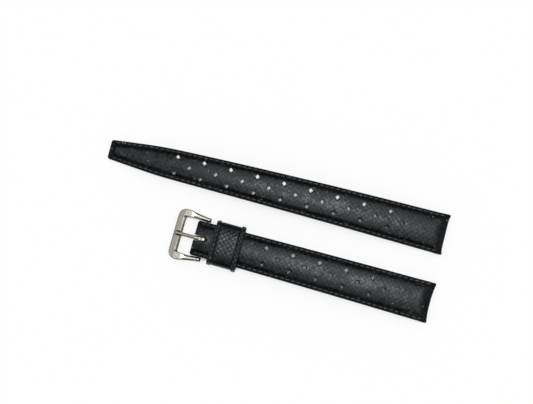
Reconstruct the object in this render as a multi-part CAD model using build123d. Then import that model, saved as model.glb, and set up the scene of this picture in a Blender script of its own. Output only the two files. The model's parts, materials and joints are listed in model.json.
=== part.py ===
from build123d import *
import math
import os

os.makedirs("parts", exist_ok=True)

# Lengths are in millimetres.
# Each rubber half is drawn with its lug end at x = 0, its length along -X and the table at z = 0.

# Long half, seen from above
lug_width = 16.2
long_length = 138.55
long_bend_start = 108.0
long_bend_start_width = 12.5
long_bend_middle = 116.5
long_bend_middle_width = 11.9
long_bend_end = 124.0
long_bend_end_width = 10.7
long_tip_width = 8.0
long_side_bow = 0.12
long_tip_corner_radius = 0.8

# Short half, seen from above
short_length = 97.6
short_end_width = 13.95
short_end_corner_radius = 0.8
short_end_nose_radius = 1.6

# How the halves lie
long_rise = 5.0
long_tip_height = 0.0
short_rise = 2.4
short_end_height = 1.0
halves_spacing = 27.9
long_setback = 1.4
long_turn_degrees = 1.1

# Rubber section: a flat edge band, a groove and a domed middle
long_band_thickness = 2.3
short_band_thickness = 2.9
crown_thickness_at_lug = 3.5
crown_thickness_at_tip = 2.5
crown_thickness_at_buckle = 3.5
dome_rise = 0.8
groove_inner_inset = 2.05
groove_width = 0.6
groove_depth = 0.35
groove_stop_from_lug = 2.6

# Lug ends
lug_end_radius = 2.1
lug_end_drop = 0.35
lug_recess = 0.75
lug_bore_radius = 1.0
lug_bore_setback = 1.9

# Diamond holes, with their diagonals along and across the strap
diamond_diagonal = 1.84
diamond_pitch = 10.9
diamond_row_spacing = 3.18
long_first_diamond = 23.5
long_diamonds_in_row = 9
short_first_diamond = 24.7
short_diamonds_in_row = 5

# Spring bar through the buckle end
bar_radius = 0.8
bar_bore_clearance = 0.05
bar_setback = 3.9
bar_end_gap = 0.15
bar_wall = 0.225
bar_lip_length = 0.4
pin_radius = 0.38
pin_clearance = 0.04
pin_head_clearance = 0.045
pin_head_length = 1.2
pin_reach = 1.05
pin_lip_gap = 0.02
spring_wall = 0.16
spring_clearance = 0.04

# Slot for the tongue
slot_width = 3.1
slot_length = 6.2

# Tongue
tongue_eye_wall = 0.8
tongue_eye_width = 2.1
tongue_shank_radius = 0.8
tongue_tip_from_bar = 11.45
tongue_root_from_bar = 0.6
tongue_root_height = 0.75
tongue_tip_height = 2.65

# Buckle frame, measured from the spring bar towards the front
frame_front = 12.4
frame_front_bar_width = 3.3
frame_width = 20.8
frame_corner_radius = 3.5
frame_side_break = 8.2
frame_side_middle = 4.4
frame_side_middle_width = 19.5
frame_arm_end_width = 18.0
frame_window_front_width = 14.5
frame_window_middle = 5.4
frame_window_middle_width = 14.9
frame_window_back_width = 14.5
frame_window_corner_radius = 0.7
frame_arm_end_radius = 1.2
frame_top = 2.5
frame_bottom = 0.7
frame_nose_top = 2.1
frame_nose_bottom = 1.0
frame_nose_length = 0.6
frame_shoulder_front = 7.0
frame_shoulder_back = 4.8
frame_rod_half_height = 0.85
frame_rod_height = 0.45
frame_shoulder_radius = 1.6
frame_bevel_width = 0.7
frame_bevel_depth = 0.9
notch_radius = 1.05
notch_gap = 0.05
notch_tip_gap = 0.3
pin_hole_clearance = 0.07

# Keeper
keeper_length = 11.9
keeper_from_end = 13.5
keeper_wall = 1.2
keeper_side_clearance = 0.55
keeper_floor_clearance = 0.3
keeper_roof_clearance = 0.3
keeper_corner_radius = 0.8
keeper_bead_length = 1.9
keeper_bead_rise = 0.35
keeper_travel_to_lug = 28.0
keeper_travel_to_buckle = 0.5

# Cutting bodies run past what they cut
overrun = 1.0
cut_height = 4 * crown_thickness_at_lug
drum_length = 2 * frame_width


def arc_along(lug_height, far_height, length, rise):
    """Centre and radius, in the XZ plane, of the arc from a lug end to the far end."""
    chord = math.hypot(length, far_height - lug_height)
    slope = math.atan2(lug_height - far_height, length)
    radius = chord**2 / (8 * rise) + rise / 2
    middle_x = -length / 2
    middle_z = (lug_height + far_height) / 2
    down = radius - rise
    return middle_x + down * math.sin(slope), middle_z - down * math.cos(slope), radius


def height_on(arc, from_lug):
    """Height of an arc's top above the table at a distance from the lug end."""
    centre_x, centre_z, radius = arc
    return centre_z + math.sqrt(radius**2 - (-from_lug - centre_x) ** 2)


def drum(arc, thickness):
    """Solid drum across the strap, whose top follows the arc at a thickness above it."""
    centre_x, centre_z, radius = arc
    return Pos(centre_x, 0, centre_z) * Rot(90, 0, 0) * Cylinder(radius + thickness, drum_length)


def tall(plan):
    """A plan outline drawn up through the whole height of the rubber."""
    return Pos(0, 0, -overrun) * extrude(plan, cut_height)


def mirrored_plan(edges, points):
    """Closed face from one side's edges and their mirror image."""
    first = points[0]
    last = points[-1]
    lines = list(edges)
    lines += [edge.mirror(Plane.XZ) for edge in edges]
    lines.append(Line(last, (last[0], -last[1])))
    lines.append(Line(first, (first[0], -first[1])))
    return make_face(lines)


def long_plan(inset, lug_x):
    """Outline of the long half drawn in by an inset."""
    points = [
        (lug_x, lug_width / 2 - inset),
        (-long_bend_start, long_bend_start_width / 2 - inset),
        (-long_bend_middle, long_bend_middle_width / 2 - inset),
        (-long_bend_end, long_bend_end_width / 2 - inset),
        (inset - long_length, long_tip_width / 2 - inset),
    ]
    edges = [
        SagittaArc(points[0], points[1], -long_side_bow),
        ThreePointArc(points[1], points[2], points[3]),
        Line(points[3], points[4]),
    ]
    return mirrored_plan(edges, points)


def short_plan(inset, lug_x):
    """Outline of the short half drawn in by an inset."""
    points = [
        (lug_x, lug_width / 2 - inset),
        (inset - short_length, short_end_width / 2 - inset),
    ]
    return mirrored_plan([Line(points[0], points[1])], points)


def rounded_far_corners(plan, radius):
    """The plan with its two corners furthest from the lug end rounded."""
    return fillet(plan.vertices().group_by(Axis.X)[0], radius)


def lug_recess_radius():
    """Radius of the hollow curve at a lug end, from its depth and the strap's width."""
    return ((lug_width / 2) ** 2 + lug_recess**2) / (2 * lug_recess)


def lug_end(plan_solid):
    """Rounded end that follows the hollow curve, within the strap's outline."""
    recess = lug_recess_radius()
    ring = Pos(recess, 0, lug_end_radius) * Torus(recess + lug_end_radius, lug_end_radius)
    return plan_solid & ring


def cut_for_lug_end():
    """Upright cylinder that clears the strap's layers up to the middle of the rounded end."""
    recess = lug_recess_radius()
    return Pos(recess, 0, cut_height / 2 - overrun) * Cylinder(recess + lug_end_radius, cut_height)


def lug_bore():
    """Straight bore for the bar that holds the half in a watch case."""
    length = lug_width + 2 * overrun
    return Pos(-lug_bore_setback, 0, lug_end_radius) * Rot(90, 0, 0) * Cylinder(lug_bore_radius, length)


def dome(crown_arc):
    """Ring with a domed rim, whose top follows the crown's arc."""
    centre_x, centre_z, radius = crown_arc
    half = lug_width / 2 - groove_inner_inset
    deep = radius - cut_height
    rim = [
        ThreePointArc((-half, radius - dome_rise), (0, radius), (half, radius - dome_rise)),
        Line((half, radius - dome_rise), (half, deep)),
        Line((half, deep), (-half, deep)),
        Line((-half, deep), (-half, radius - dome_rise)),
    ]
    section = Plane.YZ * make_face(rim)
    # The half turn takes the ring's seam away from the strap.
    return Pos(centre_x, 0, centre_z) * Rot(0, 180, 0) * revolve(section, Axis.Y)


def diamond_cutter(arc, from_lug, across):
    """Upright square bar, turned to a diamond and square to the strap's curve."""
    centre_x, centre_z, radius = arc
    lean = math.degrees(math.asin((-from_lug - centre_x) / radius))
    side = diamond_diagonal / math.sqrt(2)
    bar = Pos(0, 0, radius) * Rot(0, 0, 45) * Box(side, side, cut_height)
    return Pos(centre_x, across, centre_z) * Rot(0, lean, 0) * bar


def diamond_cutters(arc, first, in_row):
    """Two outer rows of diamonds and a middle row half a pitch nearer the lug end."""
    cutters = []
    for number in range(in_row):
        outer = first + number * diamond_pitch
        cutters.append(diamond_cutter(arc, outer, diamond_row_spacing))
        cutters.append(diamond_cutter(arc, outer, -diamond_row_spacing))
        cutters.append(diamond_cutter(arc, outer - diamond_pitch / 2, 0))
    return cutters


def rubber_half(plan, base_arc, crown_arc, band_thickness, outer_plan):
    """A half without its holes: edge band, groove, domed middle and rounded lug end."""
    body = tall(outer_plan)
    under = drum(base_arc, 0)
    groove_inset = groove_inner_inset - groove_width
    ring = tall(plan(groove_inset, -groove_stop_from_lug)) - tall(plan(groove_inner_inset, lug_recess))
    groove = ring - drum(base_arc, band_thickness - groove_depth)
    band = (body & drum(base_arc, band_thickness)) - groove
    middle = tall(plan(groove_inner_inset, lug_recess)) & dome(crown_arc)
    layers = (band + middle) - under - cut_for_lug_end()
    return layers + lug_end(tall(outer_plan))


def half_arcs(far_height, far_crown_thickness, length, rise):
    """Arcs of a half's underside and crown, with the crown meeting the rounded lug end."""
    crown_height = 2 * lug_end_radius - lug_end_drop
    base_arc = arc_along(crown_height - crown_thickness_at_lug, far_height, length, rise)
    crown_arc = arc_along(crown_height, far_height + far_crown_thickness, length, rise)
    return base_arc, crown_arc


def long_half():
    """Long half with its diamonds and lug bore."""
    base_arc, crown_arc = half_arcs(long_tip_height, crown_thickness_at_tip, long_length, long_rise)
    outer = rounded_far_corners(long_plan(0, lug_recess), long_tip_corner_radius)
    half = rubber_half(long_plan, base_arc, crown_arc, long_band_thickness, outer)
    half = half - lug_bore()
    return half - diamond_cutters(base_arc, long_first_diamond, long_diamonds_in_row)


def short_arcs():
    """Arcs of the short half's underside and crown."""
    return half_arcs(short_end_height, crown_thickness_at_buckle, short_length, short_rise)


def bar_place():
    """Distance from the lug end and height of the spring bar's axis."""
    base_arc = short_arcs()[0]
    from_lug = short_length - bar_setback
    return from_lug, height_on(base_arc, from_lug) + short_band_thickness / 2


def short_half():
    """Short half with its diamonds, lug bore, buckle bore and tongue slot."""
    base_arc, crown_arc = short_arcs()
    outer = rounded_far_corners(short_plan(0, lug_recess), short_end_corner_radius)
    half = rubber_half(short_plan, base_arc, crown_arc, short_band_thickness, outer)
    nose_from_lug = short_length - short_end_nose_radius
    end_z = height_on(base_arc, nose_from_lug) + short_band_thickness / 2
    block = Pos(-short_length, 0, end_z) * Box(2 * short_end_nose_radius, drum_length, cut_height)
    nose = Pos(-nose_from_lug, 0, end_z) * Rot(90, 0, 0) * Cylinder(short_end_nose_radius, drum_length)
    half = half - (block - nose)
    bar_from_lug, bar_z = bar_place()
    bar_bore = Rot(90, 0, 0) * Cylinder(bar_radius + bar_bore_clearance, drum_length)
    bore = Pos(-bar_from_lug, 0, bar_z) * bar_bore
    half_slot = slot_width / 2
    slot_round = Pos(slot_length - half_slot - short_length, 0, end_z) * Cylinder(half_slot, cut_height)
    straight = slot_length - half_slot + overrun
    slot_straight = Box(straight, slot_width, cut_height)
    slot_straight = Pos(straight / 2 - overrun - short_length, 0, end_z) * slot_straight
    half = half - lug_bore() - bore - slot_round - slot_straight
    return half - diamond_cutters(base_arc, short_first_diamond, short_diamonds_in_row)


def tube_half_length():
    """Half the length of the spring bar's tube, a little short of the arms."""
    return frame_window_back_width / 2 - bar_end_gap


def bar_tube():
    """Tube of the spring bar, with rolled-in lips at both ends."""
    half = tube_half_length()
    tube = Cylinder(bar_radius, 2 * half)
    cavity = Cylinder(bar_radius - bar_wall, 2 * (half - bar_lip_length))
    way = Cylinder(pin_radius + pin_clearance, 2 * (half + overrun))
    return Rot(90, 0, 0) * (tube - cavity - way)


def bar_pin(side):
    """Sprung pin of the bar at one end, with its head behind the tube's lip."""
    head_outer = tube_half_length() - bar_lip_length - pin_lip_gap
    head_radius = bar_radius - bar_wall - pin_head_clearance
    tip = frame_window_back_width / 2 + pin_reach
    head_inner = head_outer - pin_head_length
    head = Rot(90, 0, 0) * Cylinder(head_radius, pin_head_length)
    head = Pos(0, side * (head_inner + head_outer) / 2, 0) * head
    pin_length = tip - head_inner
    pin = Rot(90, 0, 0) * Cylinder(pin_radius, pin_length)
    pin = Pos(0, side * (tip - pin_length / 2), 0) * pin
    return head + pin


def bar_spring():
    """Room that the spring takes up between the two heads."""
    head_inner = tube_half_length() - bar_lip_length - pin_lip_gap - pin_head_length
    outer = bar_radius - bar_wall - spring_clearance
    spring = Cylinder(outer, 2 * head_inner) - Cylinder(outer - spring_wall, 2 * head_inner)
    return Rot(90, 0, 0) * spring


def shank_slope():
    """Angle of the tongue's shank above the frame's own level."""
    rise = tongue_tip_height - tongue_root_height
    return math.atan2(rise, tongue_tip_from_bar - tongue_root_from_bar)


def shank_length():
    """Length of the tongue's shank along its own axis."""
    return (tongue_tip_from_bar - tongue_root_from_bar) / math.cos(shank_slope())


def on_shank(lift):
    """Place at the shank's root, raised by a lift, whose X axis runs along the shank to its tip."""
    slope = shank_slope()
    raised = tongue_root_height + lift / math.cos(slope)
    return Pos(-tongue_root_from_bar, 0, raised) * Rot(0, math.degrees(slope) + 180, 0)


def shank(radius, length):
    """Round bar with a domed tip, along X from the origin."""
    profile = [
        Line((0, 0), (0, radius)),
        Line((0, radius), (length - radius, radius)),
        RadiusArc((length - radius, radius), (length, 0), radius),
        Line((length, 0), (0, 0)),
    ]
    return revolve(make_face(profile), Axis.X)


def tongue():
    """Tongue: a round shank with a domed tip and an eye round the spring bar."""
    eye_inner = bar_radius + bar_bore_clearance
    eye = Rot(90, 0, 0) * Cylinder(eye_inner + tongue_eye_wall, tongue_eye_width)
    way = Rot(90, 0, 0) * Cylinder(eye_inner, drum_length)
    return eye + on_shank(0) * shank(tongue_shank_radius, shank_length()) - way


def frame_plan():
    """Outline of the buckle frame from above, open between its arm ends."""
    outer = [
        (frame_arm_end_radius, frame_arm_end_width / 2),
        (-frame_side_middle, frame_side_middle_width / 2),
        (-frame_side_break, frame_width / 2),
        (-frame_front, frame_width / 2),
    ]
    mirror_outer = [(x, -y) for x, y in reversed(outer)]
    body = make_face(Polyline(*outer, *mirror_outer, close=True))
    body = fillet(body.vertices().group_by(Axis.X)[0], frame_corner_radius)
    window_front = frame_front - frame_front_bar_width
    inner = [
        (frame_arm_end_radius + overrun, frame_window_back_width / 2),
        (0, frame_window_back_width / 2),
        (-frame_window_middle, frame_window_middle_width / 2),
        (-window_front, frame_window_front_width / 2),
    ]
    mirror_inner = [(x, -y) for x, y in reversed(inner)]
    window = make_face(Polyline(*inner, *mirror_inner, close=True))
    window = fillet(window.vertices().group_by(Axis.X)[0], frame_window_corner_radius)
    return body - window


def frame_side():
    """Outline of the buckle frame from the side: a raised front and low rods to the bar."""
    rod_top = frame_rod_height + frame_rod_half_height
    rod_bottom = frame_rod_height - frame_rod_half_height
    points = [
        (0, frame_arm_end_radius),
        (-frame_shoulder_back, rod_top),
        (-frame_shoulder_front, frame_top),
        (frame_nose_length - frame_front, frame_top),
        (-frame_front, frame_nose_top),
        (-frame_front, frame_nose_bottom),
        (frame_nose_length - frame_front, frame_bottom),
        (-frame_shoulder_front, frame_bottom),
        (-frame_shoulder_back, rod_bottom),
        (0, -frame_arm_end_radius),
    ]
    side = make_face(Polyline(*points, close=True))
    shoulders = []
    for vertex in side.vertices():
        if -frame_shoulder_front - overrun < vertex.X < -frame_shoulder_back + overrun:
            shoulders.append(vertex)
    side = fillet(shoulders, frame_shoulder_radius)
    return side + Circle(frame_arm_end_radius)


def frame():
    """Buckle frame with its bevelled front bar, tongue notch and pin holes."""
    plan = Pos(0, 0, -drum_length / 2) * extrude(frame_plan(), drum_length)
    side = Pos(0, drum_length / 2, 0) * extrude(Plane.XZ * frame_side(), drum_length)
    body = plan & side
    window_front = frame_front - frame_front_bar_width
    bevel_points = [
        (overrun - window_front, frame_top + overrun),
        (overrun - window_front, frame_top - frame_bevel_depth),
        (-window_front, frame_top - frame_bevel_depth),
        (-window_front - frame_bevel_width, frame_top),
        (-window_front - frame_bevel_width, frame_top + overrun),
    ]
    bevel = extrude(Plane.XZ * make_face(Polyline(*bevel_points, close=True)), frame_window_front_width)
    bevel = Pos(0, frame_window_front_width / 2, 0) * bevel
    notch = shank(notch_radius, shank_length() + notch_tip_gap)
    notch = on_shank(notch_radius - tongue_shank_radius - notch_gap) * notch
    hole = Rot(90, 0, 0) * Cylinder(pin_radius + pin_hole_clearance, drum_length)
    return body - bevel - notch - hole


def frame_rest_degrees():
    """How far the frame swings down until its front touches the table."""
    bar_z = bar_place()[1]
    corner = frame_front - frame_nose_length
    reach = math.hypot(corner, frame_bottom)
    return math.degrees(math.asin(bar_z / reach) + math.atan2(frame_bottom, corner))


def keeper():
    """Loop round the short half, with a bead along each open end."""
    base_arc, crown_arc = short_arcs()
    from_lug = short_length - keeper_from_end
    near = from_lug + keeper_length / 2 + keeper_travel_to_buckle
    far = from_lug - keeper_length / 2 - keeper_travel_to_lug
    floor = min(keeper_wall, height_on(base_arc, near) - keeper_floor_clearance)
    roof = height_on(crown_arc, max(far, short_length / 2)) + keeper_roof_clearance
    taper = (lug_width - short_end_width) / short_length
    inner_width = lug_width - taper * far + keeper_side_clearance
    inner_height = roof - floor
    middle_z = (roof + floor) / 2
    inner = RectangleRounded(inner_width, inner_height, keeper_corner_radius)
    # The loop lies on the table, so its wall is as thick as its floor is high.
    wall = floor
    outer_radius = keeper_corner_radius + wall
    outer = RectangleRounded(inner_width + 2 * wall, inner_height + 2 * wall, outer_radius)
    bead_width = inner_width + 2 * (wall + keeper_bead_rise)
    bead_height = inner_height + 2 * wall + keeper_bead_rise
    bead = Pos(0, keeper_bead_rise / 2) * RectangleRounded(bead_width, bead_height, outer_radius)
    middle = Pos(0, 0, -keeper_length / 2) * extrude(outer - inner, keeper_length)
    ring = extrude(bead - inner, keeper_bead_length)
    loop = middle + Pos(0, 0, -keeper_length / 2) * ring
    loop = loop + Pos(0, 0, keeper_length / 2 - keeper_bead_length) * ring
    return Pos(-from_lug, 0, middle_z) * Plane.YZ.location * loop


# Place of each half, so that the whole part is centred above its own footprint
row_length = long_length + lug_recess + long_setback
row_depth = halves_spacing + lug_width / 2 + frame_width / 2
short_place = Pos(row_length / 2 - lug_recess, (frame_width - row_depth) / 2, 0)
long_place = short_place * Pos(-long_setback, halves_spacing, 0) * Rot(0, 0, long_turn_degrees)
bar_from_lug, bar_z = bar_place()
bar_location = short_place * Pos(-bar_from_lug, 0, bar_z)
frame_location = bar_location * Rot(0, -frame_rest_degrees(), 0)

pieces = {
    "long_strap": long_place * long_half(),
    "short_strap": short_place * short_half(),
    "keeper": short_place * keeper(),
    "buckle_frame": frame_location * frame(),
    "buckle_tongue": frame_location * tongue(),
    "spring_bar_tube": bar_location * bar_tube(),
    "spring_bar_spring": bar_location * bar_spring(),
    "spring_bar_tip_near": bar_location * bar_pin(-1),
    "spring_bar_tip_far": bar_location * bar_pin(1),
}

for name, piece in pieces.items():
    export_step(piece, f"parts/{name}.step")

where = bar_location.position
print("bar axis", round(where.X, 3), round(where.Y, 3), round(where.Z, 3))
print("frame rest turn", round(frame_rest_degrees(), 2))
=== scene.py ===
"""A rubber dive strap in two halves, with its keeper and steel buckle, on a pale table.

Each piece is a surface worked out with numpy on a grid. The two halves, the keeper, the buckle, the tongue
and the spring are new pieces that stand for the CAD solids of the same names. Lengths inside the shape
functions are in millimetres, in the frame of the half or of the buckle, and are turned to metres when a
mesh is made.
"""

import json
import math

import bpy
import numpy as np
from bpy.props import FloatProperty, FloatVectorProperty, PointerProperty
from mathutils import Matrix, Vector


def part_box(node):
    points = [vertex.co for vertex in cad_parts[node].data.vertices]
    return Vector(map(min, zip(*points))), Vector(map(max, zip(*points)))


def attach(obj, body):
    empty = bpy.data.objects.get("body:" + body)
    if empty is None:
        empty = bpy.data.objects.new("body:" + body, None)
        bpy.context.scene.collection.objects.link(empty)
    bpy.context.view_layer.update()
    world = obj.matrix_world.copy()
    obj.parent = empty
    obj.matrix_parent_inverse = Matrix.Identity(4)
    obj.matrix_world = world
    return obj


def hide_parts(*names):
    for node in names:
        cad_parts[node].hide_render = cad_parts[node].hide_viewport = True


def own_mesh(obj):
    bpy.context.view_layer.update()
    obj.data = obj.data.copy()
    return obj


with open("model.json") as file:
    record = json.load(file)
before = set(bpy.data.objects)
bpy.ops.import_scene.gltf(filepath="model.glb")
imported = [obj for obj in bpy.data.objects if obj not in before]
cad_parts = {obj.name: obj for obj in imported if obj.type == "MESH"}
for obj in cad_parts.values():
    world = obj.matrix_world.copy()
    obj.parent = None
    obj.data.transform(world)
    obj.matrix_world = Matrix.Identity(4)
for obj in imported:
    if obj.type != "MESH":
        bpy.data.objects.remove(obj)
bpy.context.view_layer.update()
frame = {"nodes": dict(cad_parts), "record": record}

bl_info = {
    "name": "Rubber dive strap",
    "version": (1, 0, 0),
    "blender": (4, 5, 0),
    "location": "3D View > Sidebar > Strap",
    "description": "Builds a woven-pattern rubber strap with its keeper and steel buckle",
    "category": "Add Mesh",
}

MM = 0.001
MOUNTS = {mount["name"]: mount for mount in frame["record"]["mounts"]}

# The grid's cells from hole to hole along a row.
CELLS_PER_PITCH = 48
# How many cells a diamond reaches each way from its middle, and how many lie between two rows.
DIAMOND_CELLS = 4
ROW_CELLS = 14
# How many cells the part of the grid with the holes reaches each way from its middle line.
CORE_CELLS = 18
# Cells of one pocket in the underside, and of half the tongue's slot.
POCKET_CELLS = 8
SLOT_CELLS = 5
# The outer rows of holes lean outwards: their underside rows stand this much wider apart.
UNDER_SPREAD = 1.14
# A height in millimetres past which the nose has no part in a half's surface.
OUT_OF_REACH = 9.0
# How far a round hole's cutter reaches each way across a piece, in millimetres.
HOLE_REACH = 15

# Depth in metres of the finest relief in the materials.
BUMP_DEPTH = 0.00002
# How far round a point the table's contact shadow looks, in metres, and the side that the painted glow
# beneath the strap leans to.
SHADOW_REACH = 0.03
FAR_SIDE = (0.0, 0.8, 0.6)
WHITE = (1.0, 1.0, 1.0, 1)
DAYLIGHT = (0.97, 0.985, 1.0, 1)
# The spring bar's share of the buckle's colour, darkened as painted shade for the shadow that it lies in.
BAR_PAINTED_SHADE = 0.2
# Half the table's width in millimetres.
TABLE_REACH = 4000.0
SENSOR_WIDTH = 36.0
# Height in metres of the point that the camera looks at.
AIM_HEIGHT = 0.003


# Settings.


def length(name, description, default, **more):
    """A length property in metres, from a default in millimetres."""
    return FloatProperty(
        name=name, description=description, default=default * MM, unit="LENGTH", precision=5, **more
    )


def colour(name, description, default):
    """A colour property."""
    return FloatVectorProperty(
        name=name, description=description, default=default, subtype="COLOR", size=3, min=0, max=1
    )


class StrapSizes(bpy.types.PropertyGroup):
    """Sizes that the rubber pieces share."""

    lug_width: length("Lug width", "Width of each half at its lug end", 16.2)
    hole_pitch: length("Hole pitch", "Distance from hole to hole along a row", 10.9)
    row_gap: length("Row gap", "Distance from the middle row of holes to an outer row", 3.18)
    stitch_pitch: length("Stitch pitch", "Distance from stitch to stitch", 2.24)
    stitch_length: length("Stitch length", "Length of one stitch", 1.68)
    stitch_height: length("Stitch height", "How far a stitch stands up", 0.2)
    weave_pitch: length("Weave pitch", "Width of one strand of the woven pattern", 1.52)
    weave_height: length("Weave height", "How far the woven pattern stands up", 0.035)
    waffle_depth: length("Waffle depth", "Depth of the pockets in the underside", 0.3)


class SteelSizes(bpy.types.PropertyGroup):
    """Sizes of the buckle and its tongue."""

    bar_width: length("Front bar width", "Width of the buckle's front bar", 3.3)
    bevel: length("Inner bevel", "Width of the bevel along the window", 0.7)
    tongue_width: length("Tongue width", "Width of the tongue's shank", 1.6)
    rest_degrees: FloatProperty(
        name="Buckle turn", description="How far the buckle hangs down at rest, in degrees", default=17.06
    )


class Finishes(bpy.types.PropertyGroup):
    """Colours of the rubber and the steel."""

    rubber: colour("Rubber", "Main colour of the rubber", (0.0042, 0.0048, 0.0052))
    worn_rubber: colour("Worn rubber", "Lighter patches of worn rubber", (0.027, 0.032, 0.034))
    shine: colour("Shine", "Tint of the light that the rubber reflects", (0.93, 0.985, 1.0))
    dust: colour("Dust", "Dust caught in the rubber", (0.20, 0.195, 0.165))
    steel: colour("Steel", "Colour of the buckle", (0.51, 0.487, 0.44))
    tongue_steel: colour("Tongue steel", "Colour of the tongue", (0.64, 0.595, 0.50))
    brushed_shade: colour("Brushed shade", "Dark part of brushed steel", (0.1, 0.095, 0.09))
    stain: colour("Stain", "Stains on the steel", (0.33, 0.31, 0.27))
    # A dark colour painted as shade on the window's inner wall.
    painted_window_shade: colour("Painted window shade", "Grime on the inner wall of the front bar", (0.04, 0.036, 0.03))
    floor: colour("Table", "Colour of the table", (0.93, 0.93, 0.93))


class StageSettings(bpy.types.PropertyGroup):
    """The camera's place and lens."""

    azimuth: FloatProperty(
        name="Azimuth", description="Camera's turn round the strap, in degrees", default=15.6
    )
    elevation: FloatProperty(
        name="Elevation", description="Camera's height above the table, in degrees", default=84.0
    )
    lens: FloatProperty(name="Lens", description="Focal length, in millimetres", default=120.0)
    view_width: length("View width", "Width of the table that the picture takes in", 213.0)
    aim_x: length("Aim X", "Middle of the picture along the strap", -3.87)
    aim_y: length("Aim Y", "Middle of the picture across the strap", 8.57)


# Plain maths.


def smooth_step(low, high, value):
    """0 below low, 1 above high, and an even S-curve between them."""
    t = np.clip((value - low) / (high - low), 0, 1)
    return t * t * (3 - 2 * t)


def smooth_max(a, b, width):
    """The larger of two surfaces, rounded where they cross over a width."""
    share = np.clip(0.5 + 0.5 * (a - b) / width, 0, 1)
    return b + (a - b) * share + width * share * (1 - share)


def smooth_min(a, b, width):
    """The smaller of two surfaces, rounded where they cross over a width."""
    return -smooth_max(-a, -b, width)


def round_drop(radius, inward):
    """How far a quarter-round edge of a radius has dropped at a distance inward from the edge."""
    gap = np.clip(radius - inward, 0, radius)
    return radius - np.sqrt(np.maximum(radius**2 - gap**2, 0))


def arc_along(lug_height, far_height, length_mm, rise):
    """Centre and radius of the arc in the XZ plane from a lug end to the far end."""
    chord = math.hypot(length_mm, far_height - lug_height)
    slope = math.atan2(lug_height - far_height, length_mm)
    radius = chord**2 / (8 * rise) + rise / 2
    down = radius - rise
    middle_z = (lug_height + far_height) / 2
    return -length_mm / 2 + down * math.sin(slope), middle_z - down * math.cos(slope), radius


def height_on(arc, along):
    """Height of the arc at distances from the lug end: the circle's upper half."""
    centre_x, centre_z, radius = arc
    return centre_z + np.sqrt(radius**2 - (-along - centre_x) ** 2)


def weave_height(along, across, pitch):
    """Height, 0 to 1, of a plain weave of round strands laid at 45 degrees.

    The strap is cut into square cells turned by 45 degrees. In every other cell the upper strand runs one
    way, and in the rest the other. A strand is a half cosine across its width and a shallower one along it.
    """
    a = (along + across) / (math.sqrt(2) * pitch)
    b = (along - across) / (math.sqrt(2) * pitch)
    odd = (np.floor(a) + np.floor(b)) % 2
    in_a = a - np.floor(a) - 0.5
    in_b = b - np.floor(b) - 0.5
    across_strand = np.where(odd > 0.5, in_a, in_b)
    along_strand = np.where(odd > 0.5, in_b, in_a)
    return np.cos(math.pi * across_strand) ** 0.8 * (0.45 + 0.55 * np.cos(math.pi * along_strand) ** 0.8)


def stitch_height(along, off_line, pitch, stitch_length, half_width, slant):
    """Height, 0 to 1, of a row of stitches: rounded dashes that lean a little across their line."""
    phase = (along / pitch) % 1 * pitch - pitch / 2
    off = (off_line - slant * phase) / half_width
    end = np.abs(phase) / (stitch_length / 2)
    body = np.sqrt(np.clip(1 - off**2, 0, 1))
    return body * np.clip(1 - np.clip(end, 0, 1) ** 6, 0, 1)


def superellipse(angle, power):
    """Points of a rounded square, one for each angle: its corners are squarer at a higher power."""
    cosine, sine = np.cos(angle), np.sin(angle)
    size = (np.abs(cosine) ** power + np.abs(sine) ** power) ** (-1 / power)
    return cosine * size, sine * size


def path_length(path):
    """Distance along a path from its first point to each of its points."""
    return np.concatenate([[0], np.cumsum(np.hypot(*np.diff(path, axis=0).T))])


# Meshes.


def mesh_object(name, points, quads, triangles=None, matrix=None, attributes=None, sharp_degrees=42):
    """Object at the origin from points in millimetres, with faces, smooth shading and point attributes."""
    points = np.asarray(points, float)
    if matrix is not None:
        turn = np.array(matrix, float)
        points = points @ turn[:3, :3].T + turn[:3, 3] / MM
    quads = np.asarray(quads, np.int32).reshape(-1, 4)
    triangles = np.zeros((0, 3), np.int32) if triangles is None else np.asarray(triangles, np.int32)
    corners = np.concatenate([quads.ravel(), triangles.ravel()])
    totals = np.concatenate([np.full(len(quads), 4), np.full(len(triangles), 3)]).astype(np.int32)
    starts = np.concatenate([[0], np.cumsum(totals)[:-1]]).astype(np.int32)
    mesh = bpy.data.meshes.new(name)
    mesh.vertices.add(len(points))
    mesh.vertices.foreach_set("co", (points * MM).astype(np.float32).ravel())
    mesh.loops.add(len(corners))
    mesh.loops.foreach_set("vertex_index", corners.astype(np.int32))
    mesh.polygons.add(len(totals))
    mesh.polygons.foreach_set("loop_start", starts)
    mesh.polygons.foreach_set("loop_total", totals)
    mesh.update(calc_edges=True)
    for label, values in (attributes or {}).items():
        kind, field = ("FLOAT_VECTOR", "vector") if np.ndim(values) == 2 else ("FLOAT", "value")
        data = mesh.attributes.new(label, kind, "POINT").data
        data.foreach_set(field, np.asarray(values, np.float32).ravel())
    mesh.shade_smooth()
    mesh.set_sharp_from_angle(angle=math.radians(sharp_degrees))
    made = bpy.data.objects.new(name, mesh)
    bpy.context.scene.collection.objects.link(made)
    return made


def grid_quads(rows, columns, wrap_rows=False):
    """Faces of a grid of points numbered row by row, closed round its columns and, where asked, its rows."""
    row = np.arange(rows if wrap_rows else rows - 1)[:, None]
    column = np.arange(columns)[None, :]
    next_row = (row + 1) % rows
    next_column = (column + 1) % columns
    corners = [
        row * columns + column,
        row * columns + next_column,
        next_row * columns + next_column,
        next_row * columns + column,
    ]
    return np.stack(np.broadcast_arrays(*corners), -1).reshape(-1, 4)


def zip_lines(upper, lower, upper_place, lower_place):
    """Triangles between two rows of points that run side by side, however many points each has."""
    upper_steps = np.searchsorted(lower_place[1:], upper_place[1:], side="left")
    lower_steps = np.searchsorted(upper_place[1:], lower_place[1:], side="right")
    first = np.stack([upper[:-1], upper[1:], lower[upper_steps]], -1)
    second = np.stack([lower[1:], lower[:-1], upper[lower_steps]], -1)
    return np.concatenate([first, second])


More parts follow.
